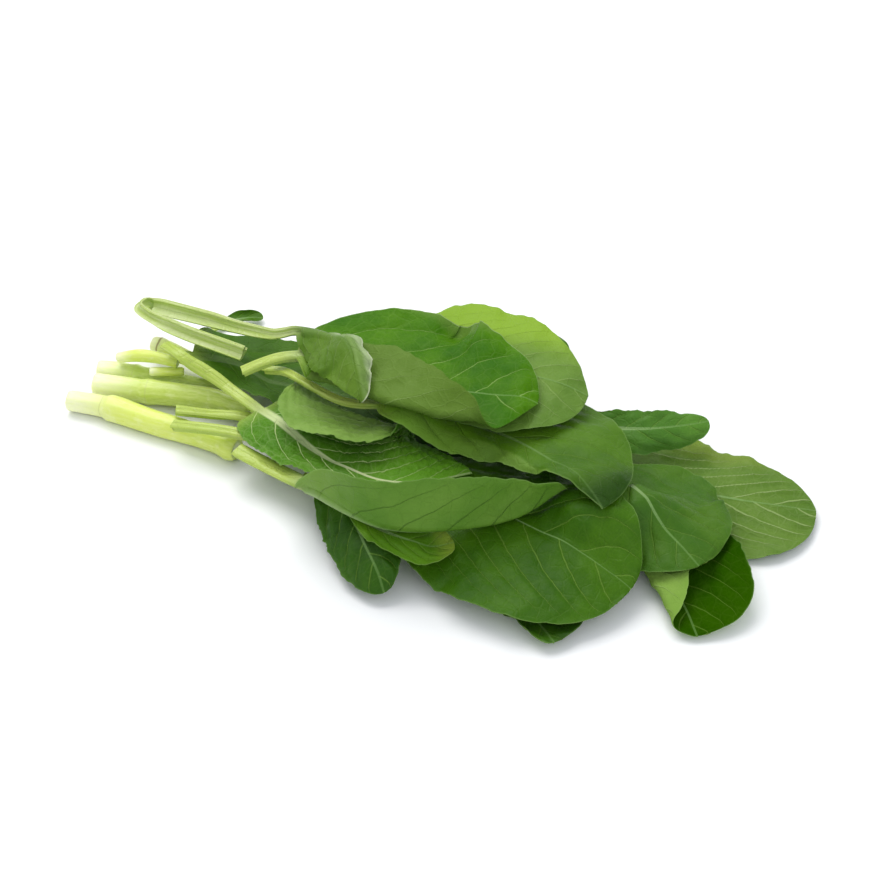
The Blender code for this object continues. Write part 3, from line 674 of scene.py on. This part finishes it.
def with_rim(s, look, colour):
    """The colour with a thin pale rim round the blade, or along one half of it, which on the crumpled leaf is
    a painted highlight.
    """
    width = look.rim_width
    rim = s.times(s.fade(s.field("edge"), width * 0.2, width, 1.0, 0.0), s.fade(s.field("share"), 0.0, 0.08))
    if look.rim_side:
        rim = s.times(rim, s.fade(s.times(s.field("across"), look.rim_side), 0.0, 1.0))
    return s.mix(s.times(rim, look.rim), colour, look.rim_colour)


def leaf_bumps(s, flat, streak, veins, cross, net):
    """Relief too fine for the mesh: veins sink into the upper face and stand out of the lower one."""
    share = s.field("share")
    side = s.minus(s.times(s.field("under"), 2.0), 1.0)
    fine = s.plus(s.times(veins, 0.32), s.plus(s.times(cross, 0.12), s.times(net, 0.05)))
    uneven = s.times(s.noise(flat, 0.35, 3), s.fade(share, -0.1, 0.1, 0.08, 0.25))
    grain = s.times(streak, s.fade(share, -0.05, 0.1, 0.02, 0.12))
    return s.plus(s.plus(s.times(fine, side), uneven), grain)


def leaf_material(name, look):
    """A satin leaf that lets some light through, on a glossier bare stalk."""
    s = Surface(name)
    across, along = s.field("across"), s.field("along")
    flat = s.spot(across, along, look.seed)
    veins, cross, net = leaf_veins(s, look, flat)
    lines = s.math("MAXIMUM", veins, s.times(cross, 0.16))
    lines = s.math("MAXIMUM", lines, s.times(net, 0.08))
    mottle = s.noise(flat, 0.9, 3, 0.6)
    streak = s.noise(s.spot(s.times(across, 1.6), s.times(along, 0.03), look.seed), 1.0, 3)
    colour = blade_colour(s, look, flat, mottle, lines)
    colour = with_rim(s, look, with_midrib(s, look, colour, streak))
    bumps = leaf_bumps(s, flat, streak, veins, cross, net)
    normal = s.make("Bump", {"Strength": look.bump, "Distance": MM, "Height": bumps})
    bare = s.fade(s.field("share"), -0.08, 0.1, 1.0, 0.0)
    rough = s.fade(mottle, 0.2, 0.8, look.rough - 0.05, look.rough + 0.07)
    rough = s.minus(rough, s.times(bare, look.rough - STALK_ROUGH))
    glossy = s.make("BsdfPrincipled", {
        "Base Color": colour, "Roughness": rough, "Normal": normal,
        "Specular IOR Level": s.fade(bare, 0.0, 1.0, look.gloss, STALK_GLOSS)})
    through = s.make("BsdfTranslucent", {"Color": s.mix(0.65, colour, look.glow_colour), "Normal": normal})
    return s.finish(s.make("MixShader", (look.glow, glossy, through)))


def stem_material(name, look):
    """A smooth, waxy stem: pale at the cut, greener further on, with streaks and leaf scars."""
    s = Surface(name)
    along, around, share, cut = s.field("along"), s.field("around"), s.field("share"), s.field("cut")
    x, y = s.math("COSINE", around), s.math("SINE", around)
    streak = s.noise(s.spot(x, y, s.times(along, 0.035)), 5.0, 4, 0.6)
    blotch = s.noise(s.spot(x, y, s.times(along, 0.12)), 1.6, 3)
    colour = s.mix(s.fade(share, 0.0, look.pale_until), look.white, look.green)
    colour = s.mix(s.fade(share, look.pale_until, 1.0, 0.0, look.deepen), colour, look.deep)
    colour = s.mix(s.fade(streak, 0.35, 0.75, 0.0, 0.5), colour, look.streak)
    colour = s.mix(s.fade(blotch, 0.5, 0.8, 0.0, 0.35), colour, look.white)
    for spot, width, strength, scar in look.scars:
        away = s.math("ABSOLUTE", s.minus(s.plus(share, s.times(blotch, 0.01)), spot + 0.005))
        colour = s.mix(s.fade(away, width * 0.3, width, strength, 0.0), colour, scar)
    pith = s.mix(s.fade(cut, 0.5, 0.8), look.pith, look.rind)
    colour = s.mix(s.fade(cut, 0.93, 0.99, 1.0, 0.0), colour, pith)
    bumps = s.plus(s.times(streak, 0.2), s.times(blotch, 0.2))
    normal = s.make("Bump", {"Strength": 0.4, "Distance": MM, "Height": bumps})
    return s.finish(s.make("BsdfPrincipled", {
        "Base Color": colour, "Roughness": s.fade(streak, 0.2, 0.8, 0.26, 0.34), "Normal": normal,
        "Subsurface Weight": 0.25, "Subsurface Radius": (1.0, 1.0, 0.4), "Subsurface Scale": 0.003,
        "Specular IOR Level": 0.5}))


def look(slot="leaf_green", dark=(0.045, 0.135, 0.002), light=(0.075, 0.19, 0.004),
         under=(0.11, 0.215, 0.012), under_light=(0.15, 0.265, 0.025), veins=7, sweep=(0.9, 0.8), line=0.55,
         vein=0.3, vein_colour=(0.2, 0.36, 0.05), vein_under=0.5, vein_under_colour=(0.3, 0.46, 0.12),
         rib_base=(0.5, 0.62, 0.33), rib_tip=(0.25, 0.45, 0.13), rib_strength=0.7, rib_line=1.0,
         stalk=(0.47, 0.62, 0.08), stalk_light=(0.62, 0.74, 0.17), rim=0.3, rim_width=0.6, rim_side=0,
         rim_colour=(0.3, 0.48, 0.14), puff=0.5, sunk=0.3, pucker=0.22, pucker_size=11.0,
         ruffle=(0.8, 4, 0.0), fray=(0.45, 6, 0.12, 30), tones=(), dents=(), bump=0.8, rough=0.44,
         gloss=0.15, glow=0.2, glow_colour=(0.3, 0.6, 0.005)):
    """How one leaf looks. Colours are linear, lengths in mm and strengths from 0 to 1.

    dark, light, under, under_light: the two greens of the upper face and those of the lower one.
    veins, sweep: side veins on each half; how far they run ahead, and more towards the margin.
    line, vein, vein_colour, vein_under, vein_under_colour: their width, and strength and colour on
    the upper and the lower face.
    rib_base, rib_tip, rib_strength, rib_line: the midrib's colours, strength and share of its width.
    stalk, stalk_light: the bare stalk's colours; the crumpled leaf's whiter stalk_light is a painted
    highlight.
    rim, rim_width, rim_colour, rim_side: the pale rim, on one half only where rim_side is 1 or -1; the
    crumpled leaf's is a painted highlight.
    puff, sunk: how far the blade swells between its side veins and sinks along them.
    pucker, pucker_size: height and width of the small swellings.
    ruffle, fray: (height, waves, phase) of the frill, (depth, waves, depth, teeth) of the outline.
    tones: (field, from, to, colour, strength) of tints that come in as the field changes; some are painted
    light and shade.
    dents: (share of the blade, across, length, width, height) of single hollows and bulges.
    bump, rough, gloss, glow, glow_colour: fine relief, roughness, shine, light coming through.
    build adds length, the blade's length, and seed, the leaf's number, which shifts its patterns.
    """
    return SimpleNamespace(**locals())


def stem_look(white=(0.92, 0.95, 0.6), green=(0.7, 0.8, 0.14), deep=(0.52, 0.66, 0.07),
              streak=(0.78, 0.86, 0.32), pith=(0.78, 0.84, 0.5), rind=(0.6, 0.72, 0.2), pale_until=0.35,
              deepen=0.6, scars=()):
    """How one stem looks: white at its cut end, green from pale_until on, deepening to the tip.

    scars: (share of the length, width, strength, colour) of the rings that old leaves left.
    """
    return SimpleNamespace(**locals())


# The photo's table, light and camera

def make_floor():
    """A white table, a hair below the bunch. In metres."""
    half, level = 4.0, -0.0003
    mesh = bpy.data.meshes.new("table")
    corners = [(x * half, y * half, level) for x, y in ((-1, -1), (1, -1), (1, 1), (-1, 1))]
    mesh.from_pydata(corners, [], [(0, 1, 2, 3)])
    s = Surface("table_white")
    tone = s.mix(s.noise(s.make("TexCoord", out=3), 3.0, 2), (0.93, 0.94, 0.955), (0.945, 0.95, 0.96))
    mesh.materials.append(s.finish(s.make("BsdfPrincipled", {"Base Color": tone, "Roughness": 0.6})))
    floor = bpy.data.objects.new("table", mesh)
    bpy.context.scene.collection.objects.link(floor)
    floor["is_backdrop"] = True


def area_light(name, place, size, power, colour):
    """A lamp that faces the bunch. Place and size in metres, power in watts."""
    data = bpy.data.lights.new(name, "AREA")
    data.shape = "RECTANGLE"
    data.size, data.size_y = size
    data.energy = power
    data.color = colour
    lamp = bpy.data.objects.new(name, data)
    lamp.location = place
    lamp.rotation_euler = (-Vector(place)).to_track_quat("-Z", "Y").to_euler()
    bpy.context.scene.collection.objects.link(lamp)


def make_light():
    """Even light all round, a large softbox above and behind, and a weak one in front."""
    world = bpy.data.worlds.new("studio")
    world.use_nodes = True
    background = world.node_tree.nodes["Background"].inputs
    background["Color"].default_value = (0.93, 0.96, 1.0, 1)
    background["Strength"].default_value = 0.68
    bpy.context.scene.world = world
    area_light("softbox", place=(-0.25, 0.55, 1.0), size=(1.1, 0.8), power=10.4, colour=(1.0, 0.98, 0.95))
    area_light("front_fill", place=(0.5, -0.9, 0.8), size=(1.0, 1.0), power=3.2, colour=(0.95, 0.97, 1.0))


def make_camera():
    """The photo's camera, which looks down at the middle of the bunch."""
    data = bpy.data.cameras.new("camera")
    data.sensor_width = SENSOR
    data.lens = SENSOR * FOCAL_PIXELS / PHOTO_PIXELS
    data.clip_start = 0.02
    camera = bpy.data.objects.new("camera", data)
    rise = math.radians(CAMERA_RISE)
    stand = Vector((-CENTRE[0], -CENTRE[1] - CAMERA_AWAY * math.cos(rise), CAMERA_AWAY * math.sin(rise))) * MM
    aim = Vector((-CENTRE[0], -CENTRE[1], 0)) * MM
    camera.location = stand
    camera.rotation_euler = (aim - stand).to_track_quat("-Z", "Y").to_euler()
    bpy.context.scene.collection.objects.link(camera)
    bpy.context.scene.camera = camera


# The bunch, in the order in which its pieces are laid on the table

# The lines run through points (x, y, height) that were picked on the photo and put into
# millimetres through its camera. Along a stem come its radii: (share of the length, radius).

STEMS = {
    "stem_front": (
        ((-178.4, 25.7, 5.2), (-164.1, 21.8, 5.3), (-155.6, 18.2, 5.8), (-138.2, 9.5, 5.6),
         (-113.7, -1.8, 5.8), (-95.7, -12.1, 6.2)),
        ((0, 5.0), (0.16, 5.2), (0.2, 5.3), (0.24, 6.4), (0.5, 5.9), (0.88, 5.2), (0.96, 6.2), (1, 5.4))),
    "stem_middle": (
        ((-167.3, 37.5, 5.6), (-156, 34.9, 5.8), (-142.6, 31.3, 6.2), (-125.4, 27, 7.5), (-109.8, 23, 8),
         (-90.7, 14, 8)),
        ((0, 5.4), (0.28, 5.7), (0.34, 6.3), (0.42, 5.8), (0.7, 5.4), (1, 4.6))),
    "stem_back": (
        ((-166.9, 49.9, 5), (-156.5, 47.9, 5), (-146.4, 44.5, 5.2), (-126.6, 39.3, 5.4),
         (-105.5, 33.9, 5.4)),
        ((0, 4.6), (0.24, 4.8), (0.3, 5.4), (0.36, 4.7), (1, 3.4))),
    "stem_far": (
        ((-141.5, 64.5, 9), (-136.6, 62.2, 9), (-125.4, 55.5, 8), (-110.3, 47, 6)),
        ((0, 4.1), (0.12, 4.5), (0.2, 4.2), (1, 3.4))),
    "stalk_stub_low": (((-140.4, 38, 12.8), (-131.7, 38, 12.8), (-124.1, 38.3, 12.6)), ((0, 2.2),)),
    "stalk_stub_high": (
        ((-156.7, 48, 13.5), (-145.4, 44.5, 17.5), (-135.4, 41.2, 18.5), (-126.6, 38, 18)),
        ((0, 2.6), (0.4, 3.1), (1, 2.6))),
    "stalk_stub_end": (((-117.5, 41.7, 14.5), (-105.9, 39.4, 14.5)), ((0, 2.2),)),
}

LEAVES = {
    "leaf_front_tip": leaf(
        ((-17.3, -45, 3), (2.2, -68.7, 3), (19.8, -92.1, 3), (34.2, -112.2, 3), (42.2, -125.8, 3),
         (47, -137.2, 5)), 84, (12, 27), rows=(2, 8), stalk=(3, 3.5),
        right=((0, 0, 0), (0.5, 5, 10), (1, 20, 60)), left=((0, 0, 0), (0.5, 0, 0), (1, 10, 10)),
        bend=((4, 10), (8, 20))),
    "leaf_back_low": leaf(
        ((-105.8, 51, 6), (-79, 49.7, 7), (-45.2, 53.7, 8), (-6.4, 59.7, 8), (33, 65.5, 6),
         (62.4, 67.5, 3)), 118, (34, 26), rows=(3, 9), right=((0, 5, 0),), left=((0, 0, 0), (1, -4, 0))),
    "leaf_shaded": leaf(
        ((-125, 36.6, 9), (-113.2, 36.6, 9), (-92.5, 36.9, 8), (-64.2, 31.3, 8), (-34.3, 20.9, 8),
         (-10.9, 13.2, 8)), 112, (22, 30), ends=((0.7, 0.45), (0.22, 0.6)), rows=(5, 10), stalk=(3.0, 3.5),
        right=((0, 5, 0),), left=((0, 5, 0), (0.4, 6, 10), (1, 0, 0))),
    "leaf_rolled_small": leaf(
        ((-114.9, 85.4, 3), (-106.3, 91.2, 3), (-98.9, 93.7, 3), (-93.6, 94.3, 3), (-90, 93.6, 3)), 23,
        (4.5, 5), rows=(2, 8), stalk=(1.8, 2.0), right=((0, 20, 60), (0.5, 40, 110), (1, 30, 100)),
        left=((0, 20, 60), (0.5, 40, 120), (1, 30, 110)), bend=((1.5, 5), (1.5, 5))),
    "leaf_right_end": leaf(
        ((27.2, 24.5, 3), (52.7, 4.5, 3), (83.4, -24.6, 4), (108.5, -39.2, 5), (134.7, -46.8, 5),
         (157, -50.5, 4), (168.7, -52.1, 3)), 116, (38, 38), ends=((0.45, 0.6), (0.7, 0.42)),
        stalk=(3.5, 4), roll=((0, 180),), right=((0, 0, 0), (0.6, 4, 0), (1, 0, 0)),
        left=((0, 4, 0), (1, 2, 0))),
    "leaf_cone": leaf(
        ((36.1, -2.3, 3), (56.3, -22.9, 3), (70.6, -44.6, 3), (86.5, -71.9, 3), (97.7, -94.5, 3),
         (104.7, -114.6, 3), (108.3, -131.5, 3)), 104, (32, 36), ends=((0.6, 0.7), (0.7, 0.4)),
        stalk=(3, 3.2), right=((0, 0, 0), (0.2, 0, 60), (0.45, 5, 160), (0.85, 8, 162), (1, 10, 150)),
        left=((0, 5, 0), (1, 10, 20)), bend=((6, 14), (12, 28)), columns=FOLDED_COLUMNS),
    "leaf_middle_low": leaf(
        ((-124.8, 5.9, 4), (-109.2, 6.8, 4), (-93, 5.6, 5), (-71.7, -0.6, 7), (-52.2, -7.6, 9),
         (-20, -17.6, 10), (12.6, -26.9, 12), (39.7, -33, 12), (62.4, -36.4, 8)), 104, (28, 28),
        rows=(5, 8)),
    "leaf_right_middle": leaf(
        ((64.4, -38.8, 4), (78.1, -57.1, 6), (93.1, -78.3, 9), (102.8, -88.9, 9), (111, -99.5, 6)), 82,
        (24, 46), ends=((0.5, 0.5), (0.45, 0.5)), stalk=(2.2, 2.4),
        right=((0, 0, 0), (0.5, -6, -6), (1, -6, -6)),
        left=((0, 0, 0), (0.35, -2, 0), (0.6, -4, -40), (1, -6, -45)), bend=((10, 24), (28, 40))),
    "leaf_right_rolled": leaf(
        ((17.6, 20.2, 6), (50, 3.6, 10), (75.2, -7.9, 16), (93.1, -12.3, 19), (109.9, -10.1, 19),
         (123.4, -4.4, 17)), 84, (12, 9), rows=(3, 9), roll=((0, 0), (0.6, 20), (1, 20)),
        right=((0, -10, 0), (0.6, -15, -30), (1, -20, -20)),
        left=((0, 10, 0), (0.4, 30, 20), (0.7, 0, 0), (1, -10, -10)), bend=((5, 10), (4, 10))),
    "leaf_front_wide": leaf(
        ((-125.9, -3.5, 16), (-112.3, -8.4, 18.5), (-100.6, -11.4, 19), (-87.4, -15.6, 19),
         (-60.9, -25.3, 18), (-33.2, -36.7, 17), (-1.8, -51.7, 18), (24.7, -67.8, 18), (42.2, -81.1, 17),
         (52.8, -89.5, 16), (66.2, -99.7, 14), (81, -111.2, 9)), 137, (50.5, 33),
        ends=((0.5, 0.4), (0.7, 0.45)), rows=(5, 12), right=((0, -6, 0), (0.4, -10, 0), (1, -4, 0)),
        left=((0, 0, 0), (0.5, -2, -8), (1, -4, -4)), ripple=(1.5, 2.5, 2.5), stalk=(3.0, 4.6), reach=5),
    "leaf_front_dark": leaf(
        ((-63.7, -36.2, 12), (-57.7, -40.9, 10), (-48.1, -54.2, 8), (-40.2, -70.5, 7), (-33.7, -88.4, 6),
         (-25.5, -108.3, 3)), 74, (14, 14), ends=((0.6, 0.5), (0.7, 0.4)), rows=(2, 9), stalk=(2.2, 2.4),
        reach=6, right=((0, -6, 0), (0.6, -6, 0), (1, 0, 60)), left=((0, 4, 10), (1, 0, 0)),
        bend=((6, 14), (6, 14))),
    "leaf_front_curled": leaf(
        ((-52.5, -52.8, 11), (-43.4, -67.9, 11), (-30.6, -80.1, 11), (-18, -87.8, 11), (-5.8, -89.4, 11),
         (4.8, -86.8, 12)), 58, (13, 15), ends=((1.3, 0.5), (0.7, 0.45)), stalk=(2.2, 2.4), rows=(2, 9),
        right=((0, 0, 0), (0.6, 6, 20), (1, 20, 40)), left=((0, 0, 0), (0.6, 6, 20), (1, 20, 50)),
        bend=((4, 13), (4, 13))),
    "leaf_cigar": leaf(
        ((-94.2, -23.7, 17.8), (-88.1, -27.7, 17), (-80.3, -32.5, 16), (-70.7, -40.3, 16.5),
         (-60.7, -51.6, 19), (-46.4, -68.8, 22), (-31.6, -81, 24), (-14.2, -86.3, 24), (5, -83.9, 22),
         (23.9, -77.6, 20), (40.8, -71.6, 22), (54.5, -66.6, 28)), 140, (28, 9),
        ends=((0.7, 0.5), (0.6, 0.5)), rows=(3, 12), stalk=(4.3, 5.2),
        right=((0, 20, 0), (0.18, 98, 0), (0.8, 102, 0), (1, 80, 0)), left=((0, 10, 0),)),
    "leaf_pale_rib": leaf(
        ((-132.2, 40.3, 14), (-124, 30.2, 15), (-114.4, 25.6, 16), (-104.5, 20.1, 17), (-95.4, 12.8, 18),
         (-86.6, 2.9, 19), (-72.9, -14.8, 20), (-59.9, -29.6, 18), (-45.9, -41.5, 15), (-28.4, -49.9, 11),
         (-8.4, -50.8, 9), (13, -44.7, 9)), 121, (18, 67), ends=((0.22, 1.5), (0.5, 0.75)),
        stalk=(3.1, 4.6), rows=(6, 12), right=((0, -10, 0), (0.3, -10, -10), (1, -10, 0)),
        left=((0, 10, 150), (0.1, 8, 165), (0.62, 8, 165), (0.77, 4, 0), (1, 0, 0)),
        bend=((8, 20), (17, 27)), swing=26, columns=FOLDED_COLUMNS),
    "leaf_drooping": leaf(
        ((-84.1, 22.9, 28), (-74.5, 13, 31), (-62.8, 1.5, 34), (-51.2, -7, 35), (-38.6, -11.6, 34),
         (-13, -15.5, 32), (11.2, -22.9, 31), (31.7, -36.6, 33), (50.7, -56.6, 34.5), (63.1, -74.1, 33),
         (69.3, -84.7, 29)), 130, (19, 47), ends=((0.4, 1.0), (0.6, 0.6)), rows=(4, 13), stalk=(2.2, 3.6),
        right=((0, -4, 0), (0.35, -5, -8), (0.5, -3, -34), (0.8, -3, -34), (1, -8, 0)),
        left=((0, 0, 0), (0.6, 0, -12), (1, -6, -10)), bend=((7, 12), (10, 32))),
    "leaf_top_bright": leaf(
        ((-51.1, 31.6, 26), (-22.4, 15.3, 34), (5.7, 5.3, 41), (33, -3, 44), (53.3, -8.3, 42),
         (66.1, -11.4, 37)), 116, (50, 37), ends=((0.5, 0.7), (0.7, 0.45)), roll=((0, 180),),
        left=((0, 0, 0), (1, 6, 6))),
    "leaf_folded": leaf(
        ((-93.8, 11.7, 35), (-81.4, 14.9, 36), (-68.4, 16.1, 38), (-50.7, 13.9, 40), (-34.2, 5.7, 42),
         (-16.8, -7.1, 44), (1.6, -17, 46), (18.8, -21.5, 47), (33.7, -24.1, 46), (42.7, -25.5, 42)), 122,
        (50, 46), ends=((0.7, 0.9), (0.6, 0.5)), rows=(3, 13), stalk=(3.0, 5),
        right=((0, 0, 165), (0.5, -5, 168), (0.75, -5, 150), (0.92, 0, 0), (1, 0, 0)),
        left=((0, 10, 0), (0.5, 6, 5), (1, 5, 0)), bend=((17, 26), (15, 35)), columns=FOLDED_COLUMNS,
        channel=0.2),
    "leaf_crumpled": leaf(
        ((-94.8, 33.3, 25), (-105.9, 37.3, 27), (-120.6, 43.9, 28.5), (-131.6, 50.1, 29.5),
         (-138.3, 55.6, 29.5), (-143.1, 60.7, 29), (-146, 66.7, 27.5), (-144.4, 71.3, 26),
         (-140.1, 71.3, 25), (-133, 68, 25), (-117.3, 60.6, 26), (-97.1, 48.6, 29), (-77.4, 35.6, 34),
         (-63.1, 24.3, 40), (-53.4, 15, 46), (-46.9, 6.1, 51), (-42.5, -4.1, 54), (-40.1, -13.9, 54),
         (-38.5, -21.1, 50), (-36.8, -27.7, 45)), 72, (10, 20), ends=((0.6, 0.5), (0.95, 1.1)),
        stalk=(5.0, 7.2), rows=(20, 10), roll=((0, 180),), channel=0.0,
        taper=((0, 0.95), (0.16, 0.92), (0.22, 0.7), (0.27, 0.7), (0.35, 1.06), (0.45, 1.0), (0.55, 0.8),
               (0.68, 0.6), (1, 0.5)), right=((0, 10, 0), (0.3, 15, 0), (0.55, 30, 0), (1, 40, 10)),
        left=((0, 36, 0), (0.5, 34, 0), (1, 20, 0)), bend=((4, 10), (10, 22))),
}

STEM_LOOKS = {
    "stem_front": stem_look(scars=((0.2, 0.006, 0.35, (0.5, 0.52, 0.2)),)),
    "stem_middle": stem_look(
        green=(0.55, 0.68, 0.12), deep=(0.42, 0.56, 0.06), scars=((0.345, 0.008, 0.3, (0.5, 0.55, 0.2)),)),
    "stem_back": stem_look(
        green=(0.52, 0.66, 0.12), deep=(0.38, 0.52, 0.06), scars=((0.3, 0.008, 0.3, (0.5, 0.55, 0.2)),)),
    "stem_far": stem_look(scars=((0.12, 0.02, 0.8, (0.3, 0.22, 0.09)),)),
}

LOOKS = {
    # Painted shade: the tint that darkens the left half stands for the shade inside the leaf's curl.
    "leaf_front_tip": look(
        "leaf_deep_green", dark=(0.03, 0.1, 0.003), light=(0.05, 0.14, 0.006), rim_width=1.2,
        tones=(("across", 2, -8, (0.012, 0.05, 0.001), 0.7),)),
    "leaf_back_low": look(
        "leaf_deep_green", dark=(0.05, 0.14, 0.004), light=(0.08, 0.2, 0.008), rib_strength=0.3),
    "leaf_shaded": look(
        "leaf_deep_green", dark=(0.05, 0.14, 0.004), light=(0.08, 0.2, 0.008), rib_strength=0.2),
    "leaf_rolled_small": look(veins=4, ruffle=(0.3, 3, 0), fray=(0.1, 3, 0, 9)),
    "leaf_right_end": look(
        "leaf_bright_green", under=(0.1, 0.21, 0.02), under_light=(0.15, 0.27, 0.035), veins=6,
        sweep=(1.5, 1.3), vein_under=0.75, vein_under_colour=(0.36, 0.5, 0.17), puff=0.8, sunk=0.45,
        tones=(("across", 20, 34, (0.3, 0.4, 0.05), 0.5),)),
    "leaf_cone": look(
        dark=(0.015, 0.065, 0.0002), light=(0.026, 0.09, 0.0004), gloss=0.0, rough=0.7, glow=0.04,
        under=(0.17, 0.32, 0.045), under_light=(0.23, 0.38, 0.07)),
    "leaf_middle_low": look("leaf_deep_green", dark=(0.02, 0.07, 0.004), light=(0.03, 0.09, 0.005)),
    "leaf_right_middle": look(dark=(0.05, 0.15, 0.01), light=(0.085, 0.2, 0.012), veins=5),
    "leaf_right_rolled": look(dark=(0.07, 0.2, 0.02), light=(0.11, 0.27, 0.03)),
    "leaf_front_wide": look(
        dark=(0.035, 0.12, 0.0015), light=(0.065, 0.18, 0.003), sweep=(1.0, 1.25), vein=0.45, rib_line=0.5),
    "leaf_front_dark": look(
        "leaf_deep_green", dark=(0.025, 0.09, 0.004), light=(0.05, 0.15, 0.008), veins=6, vein=0.5,
        puff=1.1, sunk=0.5, pucker=0.5, pucker_size=8.0, ruffle=(0.5, 4, 0)),
    "leaf_front_curled": look(
        dark=(0.085, 0.22, 0.008), light=(0.14, 0.31, 0.012), ruffle=(0.3, 3, 0),
        tones=(("share", 0.8, 0.97, (0.36, 0.47, 0.06), 0.6),)),
    "leaf_cigar": look(
        "leaf_bright_green", under=(0.115, 0.265, 0.025), under_light=(0.165, 0.325, 0.04), vein_under=0.6,
        vein_under_colour=(0.055, 0.13, 0.012), line=0.42, ruffle=(0.3, 5, 0), puff=0.45, sunk=-0.15,
        tones=(("share", 0.35, 0.05, (0.3, 0.48, 0.09), 0.6),)),
    # Painted light: the tint towards the tip lightens the outer blade where shade falls on it.
    "leaf_pale_rib": look(
        dark=(0.075, 0.23, 0.01), light=(0.12, 0.31, 0.014), veins=8, vein=0.95, line=0.45,
        sweep=(1.6, 0.9), sunk=0.15, vein_colour=(0.6, 0.78, 0.3), rib_strength=1.0,
        rib_base=(0.78, 0.9, 0.45), rib_tip=(0.82, 0.9, 0.5),
        tones=(("share", 0.5, 0.85, (0.17, 0.44, 0.02), 0.7),), under=(0.2, 0.36, 0.055),
        under_light=(0.27, 0.44, 0.09), vein_under=0.6, vein_under_colour=(0.42, 0.56, 0.22),
        fray=(0.5, 7, 0.35, 46), pucker=0.5, pucker_size=4.0, rough=0.55),
    # Painted light: the first tint lightens the base, where the folded leaf casts its shadow, and the second
    # is a painted highlight on the folded-down near strip. The last one darkens the tip.
    "leaf_drooping": look(
        dark=(0.06, 0.16, 0.006), light=(0.1, 0.23, 0.01), rim_width=0.8, rib_strength=0.35,
        tones=(("share", 0.6, 0.15, (0.24, 0.52, 0.03), 0.8), ("across", 7.5, 9.5, (0.22, 0.38, 0.06), 0.5),
               ("share", 0.8, 0.95, (0.012, 0.05, 0.001), 0.85))),
    "leaf_top_bright": look(
        "leaf_bright_green", under=(0.12, 0.24, 0.03), under_light=(0.18, 0.32, 0.05),
        tones=(("across", 12, 34, (0.3, 0.5, 0.03), 0.85),)),
    "leaf_folded": look(
        dark=(0.035, 0.15, 0.0005), light=(0.085, 0.24, 0.001), gloss=0.08, veins=6,
        under=(0.12, 0.22, 0.025), under_light=(0.15, 0.26, 0.04), vein=0.6, line=0.5,
        vein_colour=(0.3, 0.5, 0.12), rim_side=-1, rim=0.5, rim_colour=(0.5, 0.62, 0.3), sweep=(0.7, 0.6),
        tones=(("across", -36, -43, (0.17, 0.29, 0.05), 0.6),),
        dents=((0.5, -40, 8, 9, -7.0), (0.6, -14, 5, 20, -0.8), (0.72, -30, 9, 16, 2.0),
               (0.36, -40, 9, 8, 2.0))),
    # Painted highlight: the whiter stalk_light and the broad pale rim along the right half stand for the line
    # of light along the stalk and the ridge.
    "leaf_crumpled": look(
        "leaf_bright_green", under=(0.1, 0.21, 0.014), under_light=(0.14, 0.26, 0.025), rib_strength=0.1,
        stalk=(0.5, 0.64, 0.13), stalk_light=(0.72, 0.8, 0.38), vein_under=0.15, rim=0.8, rim_width=1.2,
        rim_side=1, rim_colour=(0.62, 0.68, 0.45), pucker=0.45, pucker_size=9.0,
        tones=(("across", 0.3, 2.5, (0.24, 0.38, 0.1), 0.7), ("across", 4.5, 7.5, (0.55, 0.64, 0.4), 0.5)),
        dents=((0.45, 1.0, 26, 1.6, 0.9), (0.6, -6, 9, 4, -0.8), (0.35, -5, 7, 5, 0.7))),
}


def build():
    """Lays the stems, then the leaves, and sets up the photo's scene around them."""
    pile = Pile()
    for name, (path, radii) in STEMS.items():
        make_stem(name, path, radii, pile, STEM_LOOKS.get(name, stem_look()))
    for number, (name, spec) in enumerate(LEAVES.items(), 1):
        style = LOOKS[name]
        style.length, style.seed = spec.blade, float(number)
        make_leaf(name, spec, style, pile)
    make_floor()
    make_light()
    make_camera()
    bpy.context.scene.view_settings.view_transform = "Standard"


build()

low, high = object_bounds()
